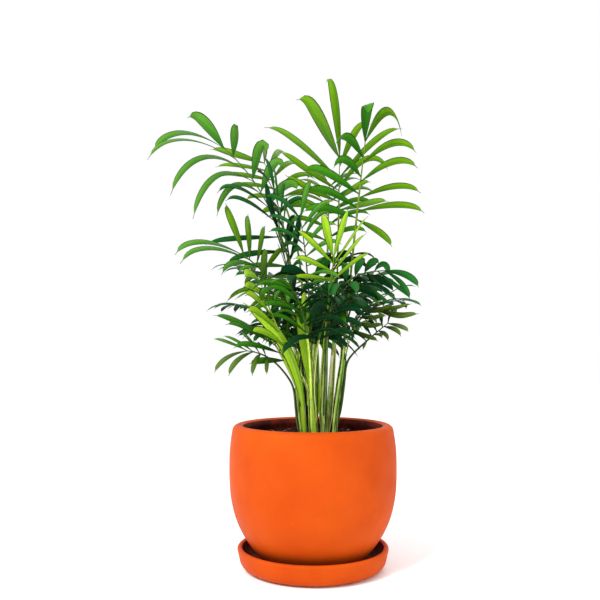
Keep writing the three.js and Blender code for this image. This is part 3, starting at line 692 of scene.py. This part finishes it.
def leafletLine(shape, share, hand, leafNumber, change, steps, hook=0, twist=0):
    # middle line, upper sides and directions of one leaflet
    place = shape["bare"] + (1 - shape["bare"]) * share ** shape["gather"]
    origin, forward, side, upper = ribFrame(shape, place)
    vary = lambda kind, size: wobble(shape["number"], leafNumber, kind) * size
    away = mix(shape["spread"], share) + hand * mix(shape["sway"], share)
    turn = math.radians(away + change["turn"] + vary(1, leafRule["turn"]) * shape["unruly"])
    lift = math.radians(mix(shape["lift"], share) + change["lift"])
    tilt = math.radians(change["tilt"] + vary(2, leafRule["tilt"]) * shape["unruly"])
    droop = mix(shape["droop"], share) - hand * shape["tug"] + change["sag"] + vary(3, leafRule["sag"])
    shortening = shape["short"][0] * (1 - share) ** 2 + shape["short"][1] * share ** 3
    length = shape["leaf"][0] * (1 - shortening) * change["length"] * (1 + vary(4, leafRule["length"]))
    sideways = side * (hand * math.cos(lift)) + upper * math.sin(lift)
    start = forward * math.cos(turn) + sideways * math.sin(turn)
    face = upper * math.cos(lift) - side * (hand * math.sin(lift))
    face = (Quaternion(start.normalized(), tilt) @ face).normalized()
    points, faces, directions = [origin.copy()], [face.copy()], [start.normalized()]
    for step in range(steps):
        along = (step + 0.5) / steps
        sag = droop * leafRule["limpness"] * along ** 2 + hook * ease(blade["hookFrom"], 1, along)
        direction = (start - up * sag).normalized()
        points.append(points[-1] + direction * (length / steps))
        face = squared(face, direction)
        faces.append(Quaternion(direction, twist * along) @ face)
        directions.append(direction)
    return points, faces, directions, length


# foot and tip of the blade, and the rib, for each tint of frond: young ones are lime, old ones blue-green;
# the greyer green is a painted sheen, and the near black green is painted shade
tints = {
    "lime": ("#7aa814", "#a0c42a", "#8ba034"),
    "bright": ("#325c04", "#628e0c", "#7c902c"),
    "fresh": ("#124e06", "#3c7e12", "#4a6a26"),
    # greyer green: painted sheen, the light glancing off the leaflets of the left arch
    "glossy": ("#206012", "#558a2c", "#4e6a30"),
    "deep": ("#053a10", "#226426", "#4a6a2c"),
    "olive": ("#344a1e", "#5c742a", "#50602c"),
    # near black green: the dark green of old leaflets deepened as painted shade, for leaflets in the thick
    # and shade of the clump
    "dark": ("#011c0d", "#073e1e", "#1e3418"),
}
ages = list(tints)

# veins and streaks in millimetres; streaks and veins each darken the tissue by a colour, and the fold darkens
# one half of each blade by a colour, as painted shade
leafFinish = {
    "veinPitch": 0.9, "veinBump": (0.3, 0.2), "streakWidth": 1.1, "streakLength": 18,
    "streaks": (0.66, 0.78, 0.7, 1), "fold": (0.7, 0.78, 0.75, 1), "veins": (0.84, 0.9, 0.8, 1),
    "footToTip": (0.02, 0.75), "streakSpread": (0.36, 0.66), "shadedHalfWidth": (0.42, 0.58), "gloss": (-0.06, 0.08),
    "upper": (0.36, 1), "under": (0.55, 1.25),
}


def leafSkin(name, footColour, tipColour, roughness, paling):
    # Living palm leaf: soft green tissue under a thin waxy cuticle with a broken gloss, darker at its foot,
    # partly as painted shade near the rib, and lighter and yellower to its tip.
    # Fine veins run its whole length. They are 0.3 mm apart, and drawn at 0.9 mm so that they show.
    form = leafFinish
    material, tree, surface = newMaterial(name, roughness, 1.42, 0.07)
    foot, tip = ([channel * paling for channel in toLinear(part)[:3]] + [1]
                 for part in (footColour, tipColour))
    spot = addNode(tree, "UVMap", {"uv_map": "blade"})
    along, across, _ = addNode(tree, "SeparateXYZ", links={0: spot}).outputs
    grain = {"Vector": addNode(tree, "UVMap", {"uv_map": "grain"})}
    drawnOut = {"Scale": (1 / form["streakWidth"], 1 / form["streakLength"], 1)}
    drawn = {"Vector": addNode(tree, "Mapping", drawnOut, grain)}
    streaks = addNode(tree, "TexNoise", {"Scale": 1, "Detail": 4, "Roughness": 0.6}, drawn)
    veins = addNode(tree, "TexWave", {
        "bands_direction": "X", "Scale": 1 / form["veinPitch"] / 3.14, "Distortion": 0.6, "Detail": 2,
        "Detail Scale": 0.4,
    }, grain).outputs["Fac"]
    towardsTip, streaked, shadedHalf = (
        addNode(tree, "MapRange", {1: form[key][0], 2: form[key][1]}, {0: source})
        for key, source in (("footToTip", along), ("streakSpread", streaks), ("shadedHalfWidth", across))
    )
    colour = addNode(tree, "Mix", {"data_type": "RGBA", 6: foot, 7: tip}, {0: towardsTip}).outputs[2]
    # one half of the folded blade turns from the light
    for share, part in ((streaked, "streaks"), (shadedHalf, "fold"), (veins, "veins")):
        settings = {"data_type": "RGBA", "blend_type": "MULTIPLY", 7: form[part]}
        colour = addNode(tree, "Mix", settings, {0: share, 6: colour}).outputs[2]
    low, high = form["gloss"]
    gloss = addNode(tree, "MapRange", {3: roughness + low, 4: roughness + high}, {0: streaks})
    strength, depth = form["veinBump"]
    ridges = addNode(tree, "Bump", {"Strength": strength, "Distance": depth * mm}, {"Height": veins})
    join(tree, surface, {"Base Color": colour, "Roughness": gloss, "Normal": ridges})
    return material


def stalkSkin(name, hexColour, paleColour, roughness=0.42):
    # Smooth green rind with pale flecks, slightly waxy. Its lengthwise fibres are 0.2 mm wide, and drawn at
    # 0.8 mm, half of their pattern's size, so that they show.
    return dealtSkin(name, (roughness, 1.42, 0.1), (hexColour, paleColour), (1.6, 4, 0.6), (0.36, 0.6),
                     (0.35, 0.2), stretch=(1, 1, 0.1))


def papery(name, hexColour, paleColour):
    # Dead leaf tissue, dried on the plant: brittle, matt and brown to straw coloured.
    return dealtSkin(name, (0.75, 1.4, 0.08), (hexColour, paleColour), (3, 4, 0.5), (0.35, 0.65), (0.4, 0.2))


leafTops = [leafSkin("leafTop" + leafTintName.capitalize(), *tints[leafTintName][:2], *leafFinish["upper"]) for leafTintName in ages]
leafUnders = [leafSkin("leafUnder" + leafTintName.capitalize(), *tints[leafTintName][:2], *leafFinish["under"]) for leafTintName in ages]
ribSkins = [stalkSkin("rib" + leafTintName.capitalize(), tints[leafTintName][0], tints[leafTintName][2]) for leafTintName in ages]
# the dried margin finish also draws the painted shade lines down the flanks of the stalks
marginAndShadeLine = papery("driedMarginAndShadeLine", "#1c2409", "#343c14")
leafTip = papery("driedLeafTip", "#241d18", "#453c30")
leafFinishes = leafTops + leafUnders + [marginAndShadeLine, leafTip]


def bladeFinishes(leafTintName):
    # places of the upper side, under side, margin and tip among the leaf finishes
    return leafTintName, len(ages) + leafTintName, 2 * len(ages), 2 * len(ages) + 1


# leaflets

blade = {
    "stations": 20, "tailFrom": 0.94, "tailWidth": 0.55, "tipWidth": 0.18, "tipFrom": 0.92, "thickness": 0.42,
    "columns": (-1, -0.85, -0.45, 0, 0.45, 0.85, 1), "pleatColumn": 0.45, "pleat": 0.3, "channel": 0.2,
    "footWidth": 0.55, "footThickness": 1.0, "marginThinner": 0.55, "tipThinner": 0.6,
    "rises": (0.85, 1.05), "falls": (0.62, 0.42), "hookFrom": 0.72, "hook": (0.05, 0.5), "twist": 0.3,
    "swell": 1.12, "onSolid": 0.05, "footLength": 0.15, "tailFade": 0.85, "stoutLength": 0.08,
    "thinFrom": 0.9, "channelPower": 1.5, "flattening": 1.5, "grainShift": 7.3,
}


def marginShare(along, bulge):
    # half width as a share of the widest; bulge moves the widest place out towards the tip
    body = min(along / blade["tailFrom"], 1)
    first, second = mix(blade["rises"], bulge), mix(blade["falls"], bulge)
    peak = first / (first + second)
    return (body / peak) ** first * ((1 - body) / (1 - peak)) ** second


def halfWidth(along, width, bulge):
    # a narrow foot, the blade, and a drawn-out dry tail at the tip
    foot = mix((blade["footWidth"], 0), ease(0, blade["footLength"], along))
    tail = mix((blade["tailWidth"], blade["tipWidth"]), ease(blade["tailFade"], 1, along))
    return max(width / 2 * marginShare(along, bulge), foot, tail)


def growBlade(pile, line, width, hand, finishes, grainStart):
    points, faces, directions, length = line
    stations, columns = len(points) - 1, blade["columns"]
    corners, spots = [], []
    for i, point in enumerate(points):
        along = i / stations
        across = directions[i].cross(faces[i]).normalized()
        stout = mix((blade["thickness"], blade["footThickness"]), 1 - ease(0, blade["stoutLength"], along))
        top, bottom, row = [], [], []
        for column in columns:
            # the margin towards the frond's tip bulges, the other is straighter
            bulging = column * hand < 0
            half = halfWidth(along, width * (blade["swell"] if bulging else 2 - blade["swell"]), bulging)
            spread = abs(column)
            height = half * blade["channel"] * spread ** blade["channelPower"]
            height *= 1 - blade["flattening"] * along
            height += blade["pleat"] * (spread == blade["pleatColumn"]) * min(half / 2, 1)
            thick = stout * (1 - blade["marginThinner"] * spread ** 2)
            thick *= 1 - blade["tipThinner"] * ease(blade["thinFrom"], 1, along)
            seat = point + across * (half * column) + faces[i] * height
            top.append(seat + faces[i] * (thick / 2))
            bottom.append(seat - faces[i] * (thick / 2))
            row.append((half * column + grainStart, along * length, along, column * hand / 2 + 0.5))
        corners += top + bottom[::-1]
        spots += row + row[::-1]
    sides = 2 * len(columns)
    upperFinish, underFinish, marginFinish, tipFinish = finishes
    cells, skins = [], []
    for ring, side, cell in cellsOf(stations, sides):
        isEdge = side % len(columns) in (0, len(columns) - 2, len(columns) - 1)
        skin = marginFinish if isEdge else upperFinish if side < len(columns) else underFinish
        cells.append(cell[:1] + cell[:0:-1])
        skins.append(tipFinish if ring / stations > blade["tipFrom"] else skin)
    last = stations * sides
    cells += [list(range(sides)), list(range(last, last + sides))[::-1]]
    skins += [marginFinish, marginFinish]
    pile.add(corners, cells, skins, [[spots[corner] for corner in cell] for cell in cells])


def sheetOf(line, width):
    # a flat strip as wide as the leaflet, to test it against the others
    points, faces, directions, _ = line
    corners, strips = [], []
    for i, point in enumerate(points):
        half = halfWidth(i / (len(points) - 1), width, 0.5)
        across = directions[i].cross(faces[i]).normalized() * half
        corners += [point + across, point - across]
        if i > 1:
            strips.append([2 * i - 2, 2 * i - 1, 2 * i + 1, 2 * i])
    return BVHTree.FromPolygons(corners, strips)


def tipFinder(name):
    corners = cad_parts["frond_" + name].data.vertices
    finder = KDTree(len(corners))
    for corner in corners:
        finder.insert(corner.co, corner.index)
    finder.balance()
    return finder


def leafletsOf(shape, sheets):
    # lines of one frond's leaflets, in pairs from the lower end of the blade to its forked tip
    finder = None if shape["isInner"] else tipFinder(shape["name"])
    grown = []
    for leafNumber in range(shape["pairs"] * 2):
        pair = shape["pairs"] - 1 - leafNumber // 2
        hand = 1 if leafNumber % 2 == 0 else -1
        own = {**plainLeaflet, **shape["own"].get(leafNumber, {})}
        if own["length"] == 0:
            continue
        isShifted = pair < shape["pairs"] - 1 and hand > 0
        share = (pair + (leafRule["stagger"] if isShifted else 0)) / (shape["pairs"] - 1)
        width = shape["leaf"][1] * own["width"] * (1 + leafRule["endBroad"] * share ** 8)
        width *= shape["slim"][leafNumber % 2]
        vary = lambda kind: wobble(shape["number"], leafNumber, kind)
        grow = lambda *how: leafletLine(shape, share, hand, leafNumber, *how)
        hook = mix(blade["hook"], vary(5) / 2 + 0.5) if own["fold"] is None else own["fold"]
        tries = [(changed(own, *fallback), blade["stations"]) for fallback in fallbacks]
        # the change with which the solid's leaflet found its room; none where it was left out
        near = blade["onSolid"] * mm
        tips = ((change, grow(change, leafRule["steps"])[0][-1]) for change, _ in tries if finder)
        found = next((change for change, tip in tips if finder.find(tip * mm)[2] < near), None)
        if found:
            tries = [(found, blade["stations"], hook, blade["twist"] * vary(6)), (found, blade["stations"])]
        for how in tries:
            line = grow(*how)
            sheet = sheetOf(line, width)
            if not any(sheet.overlap(other) for other in sheets):
                break
        else:
            if not found:
                continue
        sheets.append(sheet)
        grown.append((line, width, hand, leafNumber))
    return grown


# short old fronds inside the clump, which hang between the others
innerForm = {
    "count": 16, "turn": 137.5, "firstTurn": 20, "reach": (14, 36), "top": (216, 262), "roll": 24,
    # their near black green tint is painted shade, for the inside of the clump
    "tints": (("dark", "dark"), ("dark", "deep"), ("fresh", "deep")),
    "frond": {
        "bow": (0.2, 0.8), "unruly": 3, "bare": 0.55, "pairs": 5, "leaf": (50, 7.2), "short": (0.2, 0.2),
        "spread": (60, 25), "lift": (0, 0), "droop": (1.4, 1),
    },
}


def innerFrond(number):
    form = innerForm
    reach, top, roll = (wobble(number + 60, 1, kind) / 2 + 0.5 for kind in (1, 2, 3))
    cane = number * 3 % caneCount
    rise = mix(form["top"], top) - soilForm["level"] - clump["heights"][cane]
    return frond(cane, number % 3, form["turn"] * number + form["firstTurn"], mix(form["reach"], reach), rise,
                 form["frond"], roll=form["roll"] * (roll - 0.5) * 2, tints=form["tints"][number % 3])


# two slender old fronds that stand up behind the left arch
oldFrond = {
    "bow": (0.3, 0.7), "pairs": 8, "leaf": (46, 5.5), "spread": (75, 30), "droop": (0.9, 0.7), "unruly": 2,
    "tints": ("dark", "deep"), "sheath": "green",
}
oldFronds = [
    frond(3, 1, -165, 26, 165, oldFrond, bare=0.55),
    frond(1, 1, -120, 22, 125, oldFrond, bare=0.5, tints=("deep", "glossy")),
]

shapes = [frondShape(name, number, fronds[name]) for number, name in enumerate(fronds)]
hidden = [innerFrond(number) for number in range(innerForm["count"])] + oldFronds
shapes += [frondShape("inner", len(fronds) + number, entry, True) for number, entry in enumerate(hidden)]
leafPiles = {"Young": Pile(), "Green": Pile(), "Shaded": Pile()}
pileOf = {**dict.fromkeys(ages, "Green"), "lime": "Young", "bright": "Young", "dark": "Shaded"}
allSheets = []
for shape in shapes:
    pile = leafPiles[pileOf[shape["tints"][1]]]
    for line, width, hand, leafNumber in leafletsOf(shape, allSheets):
        # even leaflets take a frond's first tint and odd ones, across the rib, its second; on front_tall the
        # darker and lighter tints on its two sides are painted shade and painted light
        leafTintName = ages.index(shape["ages"].get(leafNumber, shape["tints"][leafNumber % 2]))
        growBlade(pile, line, width, hand, bladeFinishes(leafTintName), leafNumber * blade["grainShift"])
print("leaflets grown:", len(allSheets))


# stalks: each runs from its sheath on the cane through the frond to its fork

stalkForm = {
    "sheathStart": (0.02, 0.35), "sheathOut": 3.3, "startRadius": 0.8, "sheathRadius": 1.3, "seatRadius": 1.1,
    "bladeRadius": 0.95, "tipRadius": 0.42, "sides": 14, "pitch": 2.5, "evening": 14, "clasp": 1.15,
    "groove": 0.22, "shadeLineSides": (4, 9), "highlightSides": (0, 1, 13), "turning": (205, 245), "leaning": (-0.3, 0.25),
    "wedge": 0.2, "taper": 0.7,
}

# painted shade for the back of a sheath, towards its cane, its body, and a painted highlight stripe: cream
# where it is young, dusky where it is about to dry
sheathTints = {
    "cream": ("#4e6c1c", "#ccd478", "#fffff0"), "lime": ("#3e6c10", "#94bc20", "#e0f07c"),
    "green": ("#244c10", "#689a22", "#d4e888"), "pale": ("#40601a", "#b4c45c", "#fcfee0"),
    "dusky": ("#122a0e", "#2c4416", "#667a40"),
}
tones = list(sheathTints)


def evenOut(points, passes):
    for _ in range(passes):
        threes = zip(points, points[1:], points[2:])
        inner = [(before + here * 2 + after) / 4 for before, here, after in threes]
        points = [points[0], *inner, points[-1]]
    return points


def framesOf(points, start):
    # each point of a line with its face, which starts as near to start as it can, and its direction
    face, last = start, len(points) - 1
    for i, point in enumerate(points):
        forward = (points[min(i + 1, last)] - points[max(i - 1, 0)]).normalized()
        face = squared(face, forward)
        yield point, face, forward


def tube(pile, points, radii, finish, start, clasp=1, groove=0):
    # a round stalk along points; start is the side that its groove lies on
    def corner(station, angle):
        (point, face, forward), radius = station
        dip = 1 - groove * max(math.cos(angle), 0) ** 4
        side = forward.cross(face)
        return point + face * (math.cos(angle) * radius * dip) + side * (math.sin(angle) * radius * clasp)

    pile.spin(list(zip(framesOf(points, start), radii)), stalkForm["sides"], corner, finish)


def growStalk(pile, shape, order):
    form = stalkForm
    foot, top, _ = caneLine(shape["cane"])
    bare, start = shape["bare"], mix(form["sheathStart"], order)
    lower = max(int((1 - start) * (top - foot).length / form["pitch"]), 4)
    upper = int(shape["lengths"][-1] / form["pitch"])
    points, radii = [], []
    for i in range(lower):
        share = i / lower
        out = mix((form["sheathOut"] * ease(*form["leaning"], share), clump["seatOut"]), share ** 3)
        points.append(foot.lerp(top, mix((start, 1), share)) + shape["seatway"] * out)
        radius = mix((form["sheathRadius"], form["seatRadius"]), share ** 2)
        radii.append(mix((form["startRadius"], radius), ease(0, form["wedge"], share)))
    for i in range(upper + 1):
        share = i / upper
        points.append(ribFrame(shape, share)[0])
        radius = mix((form["bladeRadius"], form["tipRadius"]), (share - bare) / (1 - bare))
        if share < bare:
            radius = mix((form["seatRadius"], form["bladeRadius"]), (share / bare) ** form["taper"])
        radii.append(radius * (shape["stout"] if i > 0 else 1))
    points = evenOut(points, form["evening"])
    tone = tones.index(shape["sheath"]) if shape["sheath"] else shape["number"] * 3 + shape["cane"]
    sheath, shadeLineFinish = len(ages) + tone % len(tones), len(ages) + 3 * len(tones)
    turning = mix(form["turning"], wobble(shape["number"], 0, 9) / 2 + 0.5)
    bladeStart = lower + int(bare * upper)

    def finish(ring, side):
        # two dark stripes down each stalk's flanks are painted shade lines; the back, towards the cane, is
        # painted shade and the outer stripe a painted highlight
        if side in form["shadeLineSides"]:
            return shadeLineFinish
        if points[ring].z > turning or ring > bladeStart:
            return ages.index(shape["rib"])
        isFront = side < form["shadeLineSides"][0] or side > form["shadeLineSides"][-1]
        return sheath + len(tones) * (2 if side in form["highlightSides"] else 1 if isFront else 0)

    tube(pile, points, radii, finish, shape["seatway"], form["clasp"], form["groove"])


# the shade copies deal painted shade over the body, the shine copies a painted highlight
sheathSkins = [
    stalkSkin(part + tone.capitalize(), sheathTints[tone][dull], sheathTints[tone][bright])
    for part, dull, bright in (("sheathPaintedShade", 0, 1), ("sheathSide", 1, 1), ("sheathPaintedHighlight", 1, 2))
    for tone in tones
]
stalkPile = Pile()
for number in range(caneCount):
    seated = [shape for shape in shapes if shape["cane"] == number]
    for order, shape in enumerate(seated):
        growStalk(stalkPile, shape, order / max(len(seated) - 1, 1))

frondNodes = ["frond_" + name for name in fronds]
for kind, pile in leafPiles.items():
    named = [node for node, shape in zip(frondNodes, shapes) if pileOf[shape["tints"][1]] == kind]
    dress(pile.piece("leaflets" + kind, leafFinishes, 35), "leaf", *named)
dress(stalkPile.piece("frondStalks", [*ribSkins, *sheathSkins, marginAndShadeLine], 60), "leaf", *frondNodes)
print("stalks grown")


# young leaves that are still one undivided strap

# foot, handle and tip: across, in depth and over the soil; then the width, and how much of it is bare stalk
straps = {
    "long": ((-8, -22, 1), (-9.5, -36, 95), (-64, -50, 125), 11, 0.05),
    "spear": ((2, -24, 1), (-3, -26, 60), (-14.2, -20, 125), 10, 0.3),
    "inner": ((-4, -14, 30), (-5, -20, 90), (-8.5, -20, 141), 7.5, 0.35),
}
strapForm = {"stalkRadius": (1.7, 0.35), "facing": 0.25, "grainShift": 3.1}


def growStrap(leafPile, stemPile, foot, handle, tip, width, bare, number):
    base = up * soilForm["level"]
    curve = tuple(Vector(point) + base for point in (foot, handle, tip))
    steps = blade["stations"] * 2
    lime = ages.index("lime")
    radii = spaced(*strapForm["stalkRadius"], steps)
    tube(stemPile, [onCurve(curve, t) for t in spaced(0, 1, steps)], radii, lime, Vector((0, -1, 0)))
    face = Vector((strapForm["facing"] * (-1) ** number, -1, 0)).normalized()
    frames = framesOf([onCurve(curve, t) for t in spaced(bare, 1, blade["stations"])], face)
    points, faces, directions = zip(*frames)
    length = sum((after - before).length for before, after in zip(points, points[1:]))
    line = points, faces, directions, length
    growBlade(leafPile, line, width, 1, bladeFinishes(lime), number * strapForm["grainShift"])


strapPile, strapStalks = Pile(), Pile()
for number, strap in enumerate(straps.values()):
    growStrap(strapPile, strapStalks, *strap, number)
dress(strapPile.piece("youngStraps", leafFinishes, 35), "leaf")
dress(strapStalks.piece("strapStalks", ribSkins, 35), "leaf")
print("straps grown")


# canes

caneForm = {
    "stemFoot": 2.1, "stemTop": 1.4, "flare": 0.16, "flareHeight": 0.12, "ringPitch": 11, "ringSwell": 0.28,
    "ringWidth": 1.1, "sides": 16, "step": 1.6, "flute": 0.12, "flutes": 1.6, "fluteHeight": 40, "seat": 1.5,
    "ringShift": 3.1, "dentShift": 7,
}


def growCane(pile, number):
    form = caneForm
    foot, top, _ = caneLine(number)
    foot = foot - up * (clump["seatGap"] + form["seat"])  # the foot goes into the loose top of the soil
    axis = top - foot

    def corner(share, angle):
        height = share * axis.length
        flare = 1 + form["flare"] * (1 - ease(0, form["flareHeight"], share))
        radius = mix((form["stemFoot"], form["stemTop"]), share) * flare
        offset = (height + form["ringShift"] * number) % form["ringPitch"] - form["ringPitch"] / 2
        radius += form["ringSwell"] * math.exp(-(offset / form["ringWidth"]) ** 2)
        across, deep = math.cos(angle) * form["flutes"], math.sin(angle) * form["flutes"]
        dent = noise.noise(Vector((across, deep, height / form["fluteHeight"] + number * form["dentShift"])))
        return foot + axis * share + level(angle) * (radius + form["flute"] * dent * 2)

    pile.spin(spaced(0, 1, int(axis.length / form["step"])), form["sides"], corner, number % 2)


canePile = Pile()
for number in range(caneCount):
    growCane(canePile, number)
caneRinds = [
    stalkSkin("caneRind", "#4c6a24", "#b8c870", 0.4),
    stalkSkin("oldCaneRind", "#2c4418", "#7c944a", 0.5),
]
caneNodes = ["cane_%d" % (number + 1) for number in range(caneCount)]
dress(canePile.piece("palmCanes", caneRinds, 60), "cane", *caneNodes)
print("canes grown")


# floor, light and camera

studio = {
    "floor": "#ffffff", "floorSize": 8, "fibre": 2, "fibreShade": 0.985, "world": 1.0, "aim": (0, 0, 0.25),
    "lights": {
        # name: place in metres, size in metres, watts
        "keyWindow": ((-0.8, -1.0, 1.3), 0.5, 26),
        "fillPanel": ((1.2, -0.9, 0.5), 0.8, 4),
        "backPanel": ((0.5, 1.0, 1.5), 0.7, 5),
    },
}

camera = {
    "place": (-12.3, -725, 212.5), "pitch": 3.3, "focalPixels": 747, "imagePixels": 600, "sensor": 36,
    "clip": (0.02, 20),
}


def layFloor():
    # Heavy matt paper, uncoated: it takes a soft shadow and throws no shine back.
    half = studio["floorSize"] / 2
    mesh = bpy.data.meshes.new("studioFloor")
    corners = [(-half, -half, 0), (half, -half, 0), (half, half, 0), (-half, half, 0)]
    mesh.from_pydata(corners, [], [[0, 1, 2, 3]])
    material, tree, surface = newMaterial("mattPaper", 0.9, 1.5, 0.2)
    place = addNode(tree, "TexCoord").outputs["Object"]
    pale = toLinear(studio["floor"])
    fibre = [channel * studio["fibreShade"] for channel in pale[:3]] + [1]
    fibres = addNode(tree, "TexNoise", {"Scale": perMetre(studio["fibre"]), "Detail": 3}, {"Vector": place})
    colour = addNode(tree, "Mix", {"data_type": "RGBA", 6: pale, 7: fibre}, {0: fibres})
    join(tree, surface, {"Base Color": colour.outputs[2]})
    mesh.materials.append(material)
    placed("studioFloor", mesh)


def setLights():
    for name, (place, size, watts) in studio["lights"].items():
        lamp = bpy.data.lights.new(name, "AREA")
        lamp.shape, lamp.size, lamp.energy = "SQUARE", size, watts
        holder = placed(name, lamp)
        holder.location = place
        holder.rotation_euler = (Vector(studio["aim"]) - Vector(place)).to_track_quat("-Z", "Y").to_euler()
    world = bpy.data.worlds.new("whiteRoom")
    world.use_nodes = True
    world.node_tree.nodes["Background"].inputs["Color"].default_value = (1, 1, 1, 1)
    world.node_tree.nodes["Background"].inputs["Strength"].default_value = studio["world"]
    bpy.context.scene.world = world


def setCamera():
    lens = bpy.data.cameras.new("viewCamera")
    lens.sensor_width = camera["sensor"]
    lens.lens = camera["focalPixels"] / camera["imagePixels"] * camera["sensor"]
    lens.clip_start, lens.clip_end = camera["clip"]
    holder = placed("viewCamera", lens)
    holder.location = Vector(camera["place"]) * mm
    holder.rotation_euler = (math.radians(90 + camera["pitch"]), 0, 0)
    bpy.context.scene.camera = holder


layFloor()
setLights()
setCamera()
bpy.context.scene.view_settings.view_transform = "Standard"
print("studio set")
